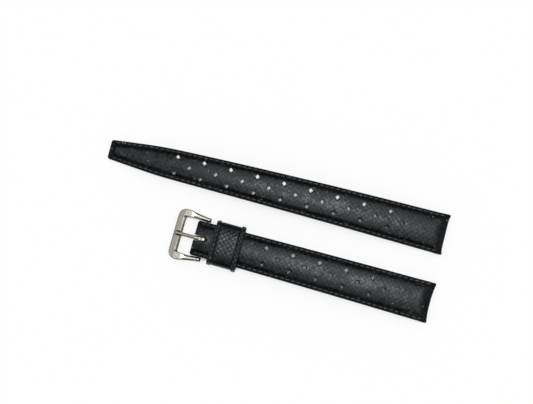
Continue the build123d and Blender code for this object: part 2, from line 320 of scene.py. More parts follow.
def tube_quads(rings, sides):
    """Faces of a tube numbered ring by ring, with each end closed by quads from one side to the other."""
    near = np.arange(sides // 2 - 1)
    far = sides - 1 - near
    start = np.stack([near, far, far - 1, near + 1], -1)
    end = (rings - 1) * sides + start[:, [0, 3, 2, 1]]
    return np.concatenate([grid_quads(rings, sides), start, end])


def cut_round_holes(target, places, matrix):
    """Cuts straight round holes across a piece, each given by its x, z and radius in millimetres."""
    steps = 32
    angle = np.linspace(0, 2 * math.pi, steps, endpoint=False)
    for x, z, radius in places:
        ring = np.stack([x + radius * np.cos(angle), np.zeros(steps), z + radius * np.sin(angle)], -1)
        rings = np.concatenate([ring - [0, HOLE_REACH, 0], ring + [0, HOLE_REACH, 0]])
        cutter = mesh_object("cutter", rings, tube_quads(2, steps), matrix=matrix)
        cut = target.modifiers.new("hole", "BOOLEAN")
        cut.operation = "DIFFERENCE"
        cut.solver = "MANIFOLD"
        cut.object = cutter
        graph = bpy.context.evaluated_depsgraph_get()
        whole = target.evaluated_get(graph)
        mesh = bpy.data.meshes.new_from_object(whole, preserve_all_data_layers=True, depsgraph=graph)
        target.modifiers.clear()
        target.data = mesh
        bpy.data.objects.remove(cutter)
    target.data.name = target.name


# Rubber halves. Lengths are in millimetres, along from the lug end and across from the middle line.


def long_outline(along):
    """Half width of the long half: a taper that quickens slowly, then bends to a faster one near the tip."""
    past_bend = along - 117.1
    bend = (past_bend + np.sqrt(past_bend**2 + 5.0**2)) / 2
    return (16.38 - 0.0275 * along - 0.775 * (along / 100) ** 2 - 0.155 * bend) / 2


def short_outline(along):
    """Half width of the short half: one straight taper from the lug end to the buckle end."""
    return (16.3 - (16.3 - 13.95) * along / SHORT["length"]) / 2


# fall is how far the dome drops at its edges, at the lug end and at the far end. hollow is how far the lug
# end's edge is moved forwards, how much further its corners are, and the power of the curve between them.
LONG = {
    "length": 138.55,
    "rise": 5.0,
    "far_height": 0.0,
    "far_crown": 2.5,
    "fall": (0.75, 0.5),
    "band": 2.3,
    "first_hole": 23.5,
    "holes": 9,
    "outline": long_outline,
    "corner": 0.8,
    "end_round": 0.55,
    "border_across_end": True,
    "slot": None,
    "hollow": (0.24, 0.6, 7.0),
}
SHORT = {
    "length": 97.6,
    "rise": 2.4,
    "far_height": 1.0,
    "far_crown": 3.5,
    "fall": (0.75, 0.75),
    "band": 2.9,
    "first_hole": 24.7,
    "holes": 5,
    "outline": short_outline,
    "corner": 0.8,
    "end_round": 1.4,
    "border_across_end": False,
    "slot": 6.1,
    "hollow": (0.0, 0.7, 2.5),
}

# The lug end: a nose that is round below and flatter above, round the lug bore.
NOSE_RADIUS = 2.1
NOSE_TOP = 1.75
NOSE_EDGE_RADIUS = 0.42
LUG_CROWN = 3.5
LUG_CORNER = 0.8
LUG_BORE_RADIUS = 1.0
LUG_BORE_PLACE = -1.9
BUCKLE_BORE_RADIUS = 0.85

# The face, counted inwards from the outline: a stitched band, a groove and the dome.
EDGE_RADIUS = 0.75
BAND_MIDDLE = 0.95
BAND_HALF = 0.88
GROOVE_DEPTH = 0.65
GROOVE_END = 1.86
DOME_START = 2.14
DOME_EDGE = 2.0
DOME_HOLLOW = 0.24
STITCH_LINE = 1.0
STITCH_HALF = 0.29
STITCH_SLANT = 0.07
CHANNEL_DEPTH = 0.1
CHANNEL_WIDTH = 0.5
HOLE_RIM_DROP = 0.07
HOLE_COLLAR_DROP = 0.02

# The underside: its rounded edges, its flat rims and the square pockets between the holes.
UNDER_RADIUS = 0.3
UNDER_TURN = np.radians([0, 30, 60, 90])[None, :]
POCKET_SHARES = (0.28, 0.36)

# The sections' columns, counted inwards from the edge, and the shares of a side's height at its two points.
EDGE_COLUMNS = [0, 0.03, 0.1, 0.22, 0.36, 0.5, 0.62, 0.72, 0.8, 0.88, 0.96, 1.04, 1.12, 1.2]
EDGE_COLUMNS += [1.28, 1.38, 1.47, 1.55]
GROOVE_COLUMNS = [1.66, 1.8, 1.92, 2.0, 2.08, 2.18, 2.32]
GAP_SHARES = (0.8, 0.6, 0.4, 0.2)
SIDE_SHARES = np.array([0.67, 0.33])[None, :]

# The rows, in angles of a quarter round at each end and in steps past the last hole.
NOSE_ANGLES = np.radians([12, 24, 36, 48, 60, 70, 80, 90])
END_ANGLES = np.radians([80, 68, 56, 44, 32, 20, 10])
TIP_LENGTH = 3.2
PLAIN_STEP = 0.28
TIP_STEP = 0.16


def half_rows(half, cell):
    """Distances from the lug end of a half's rows, and the number of the row at its first middle hole.

    The rows are close together round both ends. Between them they stand one cell apart, counted from the
    holes, and beyond the holes of a half that has no slot they stand at two steps of their own.
    """
    first_middle = half["first_hole"] - cell * CELLS_PER_PITCH / 2
    before = int((first_middle - NOSE_RADIUS - 0.5) / cell)
    start = first_middle - before * cell
    nose = NOSE_RADIUS * (1 - np.cos(NOSE_ANGLES))
    to_start = np.linspace(nose[-1], start, 4)[1:-1]
    past_holes = last_hole(half, cell) + 6 * cell
    end_radius = max(half["end_round"], half["corner"])
    stop = half["length"] - end_radius - 0.1
    steps = int((past_holes - start) / cell + 0.5)
    even = start + np.arange(steps + 1) * cell
    if half["slot"]:
        more = int((stop - even[-1]) / cell)
        even = start + np.arange(steps + 1 + more) * cell
    else:
        even = np.concatenate([even, np.arange(even[-1] + PLAIN_STEP, stop - TIP_LENGTH, PLAIN_STEP)])
        even = np.concatenate([even, np.arange(even[-1] + TIP_STEP, stop, TIP_STEP)])
    end = half["length"] - end_radius * (1 - np.cos(END_ANGLES))
    return np.concatenate([nose, to_start, even, end]), len(nose) + len(to_start) + before


def last_hole(half, cell):
    """Distance from the lug end of a half's last holes."""
    return half["first_hole"] + (half["holes"] - 1) * cell * CELLS_PER_PITCH


def hole_middles(half, first_middle):
    """Row and column, in cells, of each hole's middle: one in the middle row, then two half a pitch on."""
    for hole in range(half["holes"]):
        row = first_middle + hole * CELLS_PER_PITCH
        yield row, 0
        yield row + CELLS_PER_PITCH // 2, ROW_CELLS
        yield row + CELLS_PER_PITCH // 2, -ROW_CELLS


class HalfGrid:
    """Places and numbers of the points of one rubber half.

    A row of points is a section: the face from the -Y edge to the +Y edge, two points down that side, the
    underside back again, and two points up the other side. The middle columns stand one cell apart, so that
    every hole's outline passes through points of the grid. Towards the narrow end they are squeezed to fit.
    """

    def __init__(self, half, sizes):
        self.half = half
        self.cell = sizes.hole_pitch / MM / CELLS_PER_PITCH
        self.side_cell = sizes.row_gap / MM / ROW_CELLS
        self.rows, self.first_middle = half_rows(half, self.cell)
        self.count = len(self.rows)
        self.along = self.rows[:, None]
        self.to_end = half["length"] - self.along
        corners = round_drop(half["corner"], half["length"] - self.rows) + round_drop(LUG_CORNER, self.rows)
        self.width = (half["outline"](self.rows) - corners)[:, None]
        self.cells = np.arange(-CORE_CELLS, CORE_CELLS + 1)
        self.core_width = self.squeezed_core()
        core = self.core_width * self.cells[None, :] / CORE_CELLS
        outer = self.face_edge()
        under_outer = self.under_edge()
        self.top_across = np.concatenate([-outer, core, outer[:, ::-1]], 1)
        under_core = core[:, ::-1] * UNDER_SPREAD
        self.under_across = np.concatenate([under_outer, under_core, -under_outer[:, ::-1]], 1)
        self.outer_count = outer.shape[1]
        self.under_count = under_outer.shape[1]
        self.top_count = self.top_across.shape[1]
        self.under_first = self.top_count + SIDE_SHARES.size
        self.columns = self.under_first + self.under_across.shape[1] + SIDE_SHARES.size
        self.number = np.arange(self.count * self.columns).reshape(self.count, self.columns)
        self.distance = self.cells_to_hole()
        if half["slot"]:
            self.slot_row = int(np.argmin(np.abs(self.rows - (half["length"] - half["slot"]))))
            self.slot_half = SLOT_CELLS * self.side_cell

    def squeezed_core(self):
        """Half width of the middle columns, which past the last hole narrow as far as the half asks."""
        full = CORE_CELLS * self.side_cell
        narrow = smooth_step(0, 2.5, self.rows - (last_hole(self.half, self.cell) + 1))
        return (full + (np.minimum(full, self.half["outline"](self.rows) - 2.5) - full) * narrow)[:, None]

    def face_edge(self):
        """Places of the face's outer columns, from the edge to the middle columns."""
        edge = np.array(EDGE_COLUMNS + GROOVE_COLUMNS)[None, :]
        squeeze = np.minimum(1, (self.width - self.core_width) / (edge.max() + 0.15))
        edge = self.width - edge * squeeze
        gap = self.core_width + (edge[:, -1:] - self.core_width) * np.array(GAP_SHARES)[None, :]
        return np.concatenate([edge, gap], 1)

    def under_edge(self):
        """Places of the underside's outer columns, from the rounded edge to the middle columns."""
        edge = self.width - UNDER_RADIUS * (1 - np.cos(UNDER_TURN))
        shares = np.linspace(0, 1, 9)[None, 1:-1][:, ::-1]
        core = self.core_width * UNDER_SPREAD
        gap = core + (self.width - UNDER_RADIUS - core) * shares
        return np.concatenate([edge, gap], 1)

    def cells_to_hole(self):
        """Cells from each middle point to the nearest hole's middle, counted along rows and columns."""
        least = np.full((self.count, len(self.cells)), np.inf)
        row_number = np.arange(self.count)[:, None]
        for row, column in hole_middles(self.half, self.first_middle):
            least = np.minimum(least, np.abs(row_number - row) + np.abs(self.cells[None, :] - column))
        return least

    def upper(self, row, column):
        """Numbers of points of the face, by row and by cell from the middle line."""
        return self.number[row, self.outer_count + CORE_CELLS + column]

    def lower(self, row, column):
        """Numbers of points of the underside, by row and by cell from the middle line."""
        return self.number[row, self.under_first + self.under_count + CORE_CELLS - column]


def dome_height(half, along, across, half_width, inward):
    """Height of the woven middle: a crown that falls with the square of the distance across.

    It is hollowed a little beside the groove, and flatter near the lug end.
    """
    share = along / half["length"]
    crown = LUG_CROWN + (half["far_crown"] - LUG_CROWN) * share
    fall = half["fall"][0] + (half["fall"][1] - half["fall"][0]) * share
    bow = (across / (half_width - DOME_EDGE)) ** 2
    near_end = 1 - smooth_step(2.1, 6, along)
    dome = crown - fall * bow
    dome = dome - DOME_HOLLOW * smooth_step(3.1, 1.95, inward) ** 2
    return dome + (fall * 0.5 * bow - 0.05) * near_end


def band_height(half, along):
    """Height of the stitched band: even, higher at the lug end and lower at the long half's tip."""
    band = half["band"] + 0.4 * (1 - smooth_step(2.5, 15, along))
    if half["border_across_end"]:
        band = band - 0.25 * smooth_step(118, 134, along)
    return band + 0.3 * (1 - smooth_step(2.1, 6, along))


def face_stitches(half, along, inward, across, sizes):
    """Height, 0 to 1, of the stitches on the band, which stop short of both ends."""
    line = inward - STITCH_LINE
    pitch = sizes.stitch_pitch / MM
    slant = STITCH_SLANT * np.sign(across)
    stitch = stitch_height(along, line, pitch, sizes.stitch_length / MM, STITCH_HALF, slant)
    run_out = smooth_step(2.0, 2.6, along) * smooth_step(1.4, 2.2, half["length"] - along)
    return stitch * run_out * (np.abs(line) < 0.5)


def face_weave(half, along, inward, across, sizes):
    """Height, 0 to 1, of the woven pattern, which fades out at the groove, the ends and the slot."""
    from_end = half["length"] - along
    ends = smooth_step(1.2, 4.0, along) * smooth_step(0.6, 2.2, from_end)
    woven = weave_height(along, across, sizes.weave_pitch / MM) * smooth_step(2.1, 2.5, inward) * ends
    if half["slot"]:
        woven = woven * (1 - 0.8 * smooth_step(10.5, 8.0, from_end))
    return woven


def face_height(half, along, across, half_width, sizes):
    """Height of a half's face above its arc, distance inwards from its border, and its stitches.

    The face is a band along each edge, a groove and a dome. Distances are counted from the outline, which
    on the long half also runs across its tip.
    """
    inward = half_width - np.abs(across)
    if half["border_across_end"]:
        inward = smooth_min(inward, half["length"] - along + 0 * inward, 1.1)
    dome = dome_height(half, along, across, half_width, inward)
    band = band_height(half, along)
    floor = band - GROOVE_DEPTH
    on_dome = smooth_step(GROOVE_END, DOME_START, inward)
    bead = np.sqrt(np.clip(1 - np.abs((inward - BAND_MIDDLE) / BAND_HALF) ** 2.4, 0, 1))
    on_band = np.where(inward < BAND_MIDDLE, 1, bead)
    stitch = face_stitches(half, along, inward, across, sizes)
    woven = face_weave(half, along, inward, across, sizes)
    face = floor + (dome - floor) * on_dome + (band - floor) * on_band
    face = face - CHANNEL_DEPTH * np.exp(-(((inward - STITCH_LINE) / CHANNEL_WIDTH) ** 2))
    face = face + stitch * (sizes.stitch_height / MM + CHANNEL_DEPTH)
    face = face + 0.6 * woven * sizes.weave_height / MM
    face = face - round_drop(EDGE_RADIUS, half_width - np.abs(across)) * 0.8
    return face, inward, stitch


def edge_lift(grid):
    """How far the underside's rounded edges stand above its arc."""
    lift = np.zeros_like(grid.under_across)
    rounded = UNDER_RADIUS * (1 - np.sin(UNDER_TURN)) + 0 * grid.width
    lift[:, : UNDER_TURN.size] = rounded
    lift[:, -UNDER_TURN.size :] = rounded[:, ::-1]
    return lift


def pockets(grid):
    """Depth, 0 to 1, of the square pockets in the underside, with a flat collar round each hole.

    Both ways they repeat with the holes' cells. They stop short of the edges, the ends and the slot.
    """
    wave = np.abs(((grid.along - grid.half["first_hole"]) / (POCKET_CELLS * grid.cell)) % 1 - 0.5)
    side_wave = np.abs((grid.under_across / (POCKET_CELLS * grid.side_cell * UNDER_SPREAD)) % 1 - 0.5)
    depth = (1 - smooth_step(*POCKET_SHARES, wave)) * (1 - smooth_step(*POCKET_SHARES, side_wave))
    depth = depth * smooth_step(0.9, 1.1, grid.width - np.abs(grid.under_across))
    depth = depth * smooth_step(6, 6.4, grid.along) * smooth_step(4.2, 4.6, grid.to_end)
    if grid.half["slot"]:
        depth = depth * smooth_step(9.2, 9.6, grid.to_end)
    core = slice(grid.under_count, grid.under_count + len(grid.cells))
    collar = np.clip(grid.distance[:, ::-1] - DIAMOND_CELLS - 1, 0, 1)
    depth[:, core] = depth[:, core] * collar
    return depth


def nose_heights(grid, arc_height):
    """Heights above the arc of the nose's face and back: quarter ellipses, flatter above than below."""
    share = np.sqrt(np.maximum(NOSE_RADIUS**2 - (NOSE_RADIUS - grid.along) ** 2, 0)) / NOSE_RADIUS
    near = grid.along < 2 * NOSE_RADIUS
    face = np.where(near, NOSE_RADIUS + share * NOSE_TOP, -OUT_OF_REACH) - arc_height
    back = np.where(near, NOSE_RADIUS - share * NOSE_RADIUS, OUT_OF_REACH) - arc_height
    rounded = round_drop(NOSE_EDGE_RADIUS, grid.width - np.abs(grid.top_across))
    return face - rounded * share, back + edge_lift(grid) * share


def half_heights(grid, arc, sizes):
    """Heights of the face and the underside above the arc, the distance inwards and the stitches.

    The rims of the holes are lowered a little. At the lug end both surfaces run into the nose, and at the
    far end both are rounded.
    """
    top, inward, stitch = face_height(grid.half, grid.along, grid.top_across, grid.width, sizes)
    rim = np.clip(DIAMOND_CELLS + 1 - grid.distance, 0, 1)
    collar = np.clip(DIAMOND_CELLS + 2 - grid.distance, 0, 1)
    core = slice(grid.outer_count, grid.outer_count + len(grid.cells))
    top[:, core] -= HOLE_RIM_DROP * rim + HOLE_COLLAR_DROP * collar
    under = edge_lift(grid) + pockets(grid) * sizes.waffle_depth / MM
    nose_face, nose_back = nose_heights(grid, height_on(arc, grid.along))
    blend = 0.02 + 0.5 * smooth_step(NOSE_RADIUS, NOSE_RADIUS + 1.2, grid.along)
    on_nose = grid.along <= NOSE_RADIUS + 1e-6
    top = np.where(on_nose, nose_face, smooth_max(top, nose_face, blend))
    under = np.where(on_nose, nose_back, smooth_min(under, nose_back, blend))
    drop = round_drop(grid.half["end_round"], grid.to_end)
    return top - drop, under + drop, inward, stitch


def bend_to_slot(grid, along, across):
    """Moves the points round the slot's inner end, so that its square corner becomes a half circle.

    A square is mapped onto a disc, and the move fades out with distance from the square.
    """
    reach = grid.slot_half
    u = across / reach
    w = (grid.rows[grid.slot_row] + reach - along) / reach
    size = np.maximum(np.abs(u), w)
    size_safe = np.maximum(size, 1e-6)
    edge_u = u / size_safe
    edge_w = np.clip(w / size_safe, 0, 1)
    disc_u = edge_u * np.sqrt(1 - edge_w**2 / 2)
    disc_w = edge_w * np.sqrt(1 - edge_u**2 / 2)
    fade = np.clip(1 - (size - 1) / 1.2, 0, 1) * (size > 1e-6)
    fade = np.where(size < 1, 1, fade) * (w > 0)
    return along - (disc_w - edge_w) * reach * fade, across + (disc_u - edge_u) * reach * fade


def carry_on_arc(grid, arc, along, across, thick, sizes):
    """Points of a half: each stands off the arc along its normal by its height.

    The normal is upright at both ends. The lug end's edge is moved forwards, most at its corners.
    """
    centre_x, _, radius = arc
    forward, recess, power = grid.half["hollow"]
    hollow = forward + recess * (np.abs(across) / (sizes.lug_width / MM / 2)) ** power
    hollow = hollow * (1 - smooth_step(1.5, 13, along))
    upright = smooth_step(2, 9, along) * smooth_step(0.5, 7, grid.half["length"] - along)
    lean = np.arcsin((-along - centre_x) / radius) * upright
    x = -along + hollow + thick * np.sin(lean)
    z = height_on(arc, np.clip(along, 0, grid.half["length"])) + thick * np.cos(lean)
    return np.stack([x, across, z], -1).reshape(-1, 3)


def faces_round_holes(grid):
    """Faces of the grid without those inside a hole or the slot, and triangles along the holes' edges.

    A cell that a diamond's edge crosses keeps only the triangle outside the diamond.
    """
    distance = grid.distance
    corners = np.stack([distance[:-1, :-1], distance[:-1, 1:], distance[1:, 1:], distance[1:, :-1]], -1)
    inside = corners.max(-1) <= DIAMOND_CELLS
    on_edge = (corners.max(-1) == DIAMOND_CELLS + 1) & (corners.min(-1) == DIAMOND_CELLS - 1)
    nearest = corners.argmin(-1)
    if grid.half["slot"]:
        past_start = np.arange(grid.count - 1)[:, None] >= grid.slot_row
        inside = inside | (past_start & (np.abs(grid.cells[:-1] + 0.5)[None, :] < SLOT_CELLS))
    quads = grid_quads(grid.count, grid.columns).reshape(grid.count - 1, grid.columns, 4)
    keep = np.ones(quads.shape[:2], bool)
    number = np.arange(2 * CORE_CELLS)
    face_columns = grid.outer_count + number
    under_columns = grid.under_first + grid.under_count + number[::-1]
    triangles = []
    for columns, order in ((face_columns, [0, 1, 2, 3]), (under_columns, [1, 0, 3, 2])):
        block = quads[:, columns]
        keep[:, columns] = ~(inside | on_edge)
        for corner in range(4):
            spot = order.index(corner)
            rest = [(spot + step) % 4 for step in (1, 2, 3)]
            triangles.append(block[on_edge & (nearest == corner)][:, rest])
    return quads[keep], np.concatenate(triangles)


def hole_walls(grid):
    """Walls of the diamond holes, from the face's outline of each to the underside's.

    Round a diamond the row and the column, counted from its middle, are two triangle waves.
    """
    step = np.arange(4 * DIAMOND_CELLS)
    ring_rows = np.abs((step + 2 * DIAMOND_CELLS) % step.size - 2 * DIAMOND_CELLS) - DIAMOND_CELLS
    ring_columns = DIAMOND_CELLS - np.abs((step + 3 * DIAMOND_CELLS) % step.size - 2 * DIAMOND_CELLS)
    walls = []
    for row, column in hole_middles(grid.half, grid.first_middle):
        above = grid.upper(row + ring_rows, column + ring_columns)
        below = grid.lower(row + ring_rows, column + ring_columns)
        walls.append(np.stack([above, below, np.roll(below, -1), np.roll(above, -1)], -1))
    return np.concatenate(walls)


def slot_wall(grid):
    """The slot's wall: in along one side, round its inner end and out along the other side."""
    inwards = np.arange(grid.count - 1, grid.slot_row, -1)
    side = np.full(len(inwards), SLOT_CELLS)
    path_rows = np.concatenate([inwards, np.full(2 * SLOT_CELLS + 1, grid.slot_row), inwards[::-1]])
    path_columns = np.concatenate([-side, np.arange(-SLOT_CELLS, SLOT_CELLS + 1), side])
    above = grid.upper(path_rows, path_columns)
    below = grid.lower(path_rows, path_columns)
    return np.stack([above[:-1], above[1:], below[1:], below[:-1]], -1)


def end_caps(grid, across):
    """Triangles that close both ends of a half, in two parts where the slot divides an end."""
    top_line = np.arange(grid.top_count)
    under_line = np.arange(grid.columns - 1, grid.top_count - 1, -1)
    last = grid.count - 1
    whole = slice(None)
    parts = [(0, whole, whole)]
    if grid.half["slot"]:
        cut = grid.outer_count + CORE_CELLS - SLOT_CELLS
        under_cut = SIDE_SHARES.size + grid.under_count + CORE_CELLS - SLOT_CELLS
        parts.append((last, slice(0, cut + 1), slice(0, under_cut + 1)))
        parts.append((last, slice(cut + 2 * SLOT_CELLS, None), slice(under_cut + 2 * SLOT_CELLS, None)))
    else:
        parts.append((last, whole, whole))
    caps = []
    for row, top_part, under_part in parts:
        upper = top_line[top_part]
        lower = under_line[under_part]
        number = grid.number[row]
        cap = zip_lines(number[upper], number[lower], across[row, upper], across[row, lower])
        caps.append(cap if row else cap[:, ::-1])
    return np.concatenate(caps)


def slot_rim(grid, along, across):
    """A mask of a line round the slot's inner end, from the distance to the slot's outline. It is not raised
    in the shape: the colour lightens it as a painted highlight.
    """
    start = grid.rows[grid.slot_row]
    off_outline = np.hypot(across, np.maximum(start + grid.slot_half - along, 0)) - grid.slot_half
    return (1 - smooth_step(0.1, 0.34, np.abs(off_outline - 0.5))) * (along < start + 0.8 * grid.slot_half)


def half_attributes(grid, along, across, inward, stitch):
    """What the rubber's material reads at each point.

    strap_place is the place along and across the strap, with 1 on the face. stitch marks the stitches and the
    slot's rim, which the colour lightens partly as wear and partly as a painted highlight.
    A third mask marks plain rubber without the weave, which the colour darkens as painted shade, and matte
    marks rough rubber: both cover the bands and the lug end, and the shade mask the underside too.
    """
    shape = (grid.count, grid.columns)
    on_face = np.arange(grid.columns)[None, :] < grid.top_count
    face = (slice(None), slice(0, grid.top_count))
    raised = np.zeros(shape)
    raised[face] = stitch
    if grid.half["slot"]:
        # The slot's rim is only lightened in colour, as a painted highlight.
        raised[face] = np.maximum(stitch, 0.85 * slot_rim(grid, along, across)[face])
    on_band = smooth_step(1.85, 1.6, inward)
    # Painted shade: the colour darkens the bands, the lug end and everything but the face.
    plain_painted_shade = np.ones(shape)
    plain_painted_shade[face] = np.maximum(on_band, smooth_step(7.5, 1.8, grid.along))
    matte = np.zeros(shape)
    matte[face] = np.maximum(on_band, smooth_step(5.5, 1.8, grid.along))
    return {
        "strap_place": np.stack([along, across, on_face + 0.0 * along], -1).reshape(-1, 3),
        "stitch": raised.ravel(),
        "plain_painted_shade": plain_painted_shade.ravel(),
        "matte": matte.ravel(),
    }


def rubber_half(name, half, sizes, matrix):
    """One rubber half as one closed grid of sections, carried along the half's arc.

    The faces inside the holes and the slot are left out, and a wall joins their upper and lower edges.
    """
    grid = HalfGrid(half, sizes)
    arc = arc_along(NOSE_RADIUS + NOSE_TOP - LUG_CROWN, half["far_height"], half["length"], half["rise"])
    top, under, inward, stitch = half_heights(grid, arc, sizes)
    right = under[:, :1] + (top[:, -1:] - under[:, :1]) * SIDE_SHARES
    left = under[:, -1:] + (top[:, :1] - under[:, -1:]) * SIDE_SHARES[:, ::-1]
    thick = np.concatenate([top, right, under, left], 1)
    side = grid.width + 0 * SIDE_SHARES
    across = np.concatenate([grid.top_across, side, grid.under_across, -side], 1)
    along = grid.along + 0 * across
    faces, triangles = faces_round_holes(grid)
    walls = [hole_walls(grid)]
    if half["slot"]:
        along, across = bend_to_slot(grid, along, across)
        walls.append(slot_wall(grid))
    points = carry_on_arc(grid, arc, along, across, thick, sizes)
    quads = np.concatenate([faces, *walls])
    triangles = np.concatenate([triangles, end_caps(grid, across)])
    attributes = half_attributes(grid, along, across, inward, stitch)
    return mesh_object(name, points, quads, triangles, matrix, attributes)


def half_matrix(mount_name):
    """Place of a half in the model, from its lug bore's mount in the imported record."""
    mount = MOUNTS[mount_name]
    axis = Vector(mount["axis"])
    if axis.y < 0:
        axis = -axis
    turn = math.atan2(-axis.x, axis.y)
    forward = Vector((math.cos(turn), math.sin(turn), 0))
    origin = Vector(mount["pos_m"]) - forward * LUG_BORE_PLACE * MM
    origin.z = 0
    return Matrix.Translation(origin) @ Matrix.Rotation(turn, 4, "Z")


# Keeper. Lengths are in millimetres, along from its lug side and round from the middle of its top.

KEEPER_HALF_WIDE = 8.85
KEEPER_WALL = 1.2
KEEPER_RELIEF = 0.45
OUTSIDE_POWERS = (2.75, 5.5)
INSIDE_POWER = 7
LIP = 0.35
END_RADIUS = 0.4
LUG_BEAD = 0.4
FAR_BEAD = 0.24
BEAD_LINE = 2.05
LINE_DEPTH = 0.12
LINE_WIDTH = 0.14
KEEPER_WEAVE = 1.7
KEEPER_STITCH_PITCH = 1.9
KEEPER_TURNS = 240


def keeper_section(half_high):
    """The loop's outside as seen along the strap: places, normals and distances from the top's middle.

    It is a superellipse, squarer below than above.
    """
    angle = np.linspace(0, 2 * math.pi, KEEPER_TURNS, endpoint=False) + math.pi / 2
    power = np.where(np.sin(angle) >= 0, *OUTSIDE_POWERS)
    shape_y, shape_z = superellipse(angle, power)
    y = KEEPER_HALF_WIDE * shape_y
    z = half_high * shape_z
    step = np.hypot(np.diff(y, append=y[0]), np.diff(z, append=z[0]))
    girth = np.cumsum(step) - step
    girth = np.where(girth > step.sum() / 2, girth - step.sum(), girth)
    normal_y = np.abs(shape_y) ** (power - 1) * np.sign(shape_y) / KEEPER_HALF_WIDE
    normal_z = np.abs(shape_z) ** (power - 1) * np.sign(shape_z) / half_high
    size = np.hypot(normal_y, normal_z)
    section = {"y": y, "z": z, "normal_y": normal_y / size, "normal_z": normal_z / size, "girth": girth}
    section["height_share"] = shape_z
    return angle, {key: value[:, None] for key, value in section.items()}


def keeper_relief(along, around, long_way, on_crown, sizes):
    """How far the outside stands off the plain loop, and its stitches.

    A bead runs along each end, with a line pressed in beside it and the weave between them. The bead at the
    lug side has two rows of stitches, and the other has one row and a rim that is not raised but only marked
    for the colour, which lightens stitches and rim partly as wear and partly as a painted highlight.
    """
    lug_bead = smooth_step(1.98, 1.75, along)
    far_bead = smooth_step(long_way - 1.95, long_way - 1.7, along)
    relief = LUG_BEAD * lug_bead + FAR_BEAD * far_bead
    for line in (BEAD_LINE, long_way - BEAD_LINE):
        relief = relief - LINE_DEPTH * np.exp(-(((along - line) / LINE_WIDTH) ** 2))
    woven = weave_height(along, around, sizes.weave_pitch / MM)
    woven = woven * smooth_step(2.2, 2.6, along) * smooth_step(2.2, 2.6, long_way - along)
    pitch = KEEPER_STITCH_PITCH
    first = stitch_height(around, along - 0.7, pitch, 1.2, 0.24, 0.3)
    second = stitch_height(around + pitch / 2, along - 1.45, pitch, 1.2, 0.24, -0.3)
    far = stitch_height(around, along - (long_way - 1.05), pitch, 1.35, 0.26, 0.1)
    rim = 0.5 * smooth_step(long_way - 0.5, long_way - 0.3, along)
    stitch = np.maximum(np.maximum(first, second) * lug_bead, np.maximum(far, rim) * far_bead) * on_crown
    relief = relief + KEEPER_WEAVE * sizes.weave_height / MM * woven * on_crown
    return relief + sizes.stitch_height / MM * stitch * (rim < 0.01), stitch


def keeper_attributes(along, long_way, section, inside_along, stitch):
    """What the rubber's material reads: the inside, the lower half and, less, the beads are darkened as
    painted shade, and the beads are matte.
    """
    outside = along.shape[1]
    s = np.concatenate([along, inside_along[None, :] + 0 * section["girth"]], 1)
    is_outside = np.arange(s.shape[1])[None, :] < outside
    off_crown = smooth_step(0.88, 0.62, section["height_share"])
    on_bead = 0.75 * smooth_step(2.15, 1.9, np.minimum(along, long_way - along))
    raised = np.zeros_like(s)
    raised[:, :outside] = stitch
    # Painted shade: the colour darkens the inside, the lower half and, less, the beads.
    plain_painted_shade = np.ones_like(s)
    plain_painted_shade[:, :outside] = np.maximum(on_bead, off_crown)
    matte = np.zeros_like(s)
    matte[:, :outside] = on_bead * (1 - off_crown)
    return {
        "strap_place": np.stack([s, section["girth"] + 0 * s, is_outside + 0 * s], -1).reshape(-1, 3),
        "stitch": raised.ravel(),
        "plain_painted_shade": plain_painted_shade.ravel(),
        "matte": matte.ravel(),
    }


def keeper_loop(name, sizes):
    """The loose loop, as a grid round its section and along its wall, in the model's own frame.

    Along the strap the wall's profile runs over the outside from the lug side to the buckle side, and back
    along the plain inside. Its underside stays flat on the table.
    """
    low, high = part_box("keeper")
    long_way = (high.x - low.x) / MM
    bottom = low.z / MM
    top = high.z / MM - KEEPER_RELIEF
    middle = (top + bottom) / 2
    half_high = (top - bottom) / 2
    angle, section = keeper_section(half_high)
    lip = np.linspace(0, LIP, 5)
    between = np.linspace(LIP, long_way - LIP, 74)[1:-1]
    along = np.concatenate([lip, between, long_way - lip[::-1]])[None, :] + 0 * section["girth"]
    on_crown = smooth_step(-0.2, 0.3, section["height_share"])
    relief, stitch = keeper_relief(along, section["girth"] + 0 * along, long_way, on_crown, sizes)
    end = round_drop(END_RADIUS, np.minimum(along, long_way - along))
    on_table = section["z"] < bottom + 0.6 - middle
    outer_y = section["y"] + section["normal_y"] * (relief - end)
    outer_z = middle + section["z"] + section["normal_z"] * np.where(on_table, -end, relief - end)

    inside_along = np.linspace(long_way - 0.12, 0.12, 26)
    edge = round_drop(LIP, np.minimum(inside_along, long_way - inside_along))[None, :]
    shape_y, shape_z = superellipse(angle, INSIDE_POWER)
    inner_y = (KEEPER_HALF_WIDE - KEEPER_WALL + edge) * shape_y[:, None]
    inner_z = middle + (half_high - KEEPER_WALL + edge) * shape_z[:, None]
    y = np.concatenate([outer_y, inner_y], 1) + (low.y + high.y) / 2 / MM
    z = np.concatenate([outer_z, inner_z], 1)
    x = high.x / MM - np.concatenate([along, inside_along[None, :] + 0 * section["girth"]], 1)
    points = np.stack([x, y, z], -1).reshape(-1, 3)
    quads = grid_quads(KEEPER_TURNS, y.shape[1], wrap_rows=True)
    attributes = keeper_attributes(along, long_way, section, inside_along, stitch)
    return mesh_object(name, points, quads, attributes=attributes)


# Steel. Lengths are in millimetres from the spring bar's axis. The buckle's front lies at negative X.

FRONT = 12.4
WINDOW_FRONT = 9.1
WINDOW_CORNER = 0.7
WINDOW_HALF = 7.25
ARM_END = 1.2
CORNER = 3.5
HALF_WIDE = 10.4
PIN_HOLE_RADIUS = 0.45
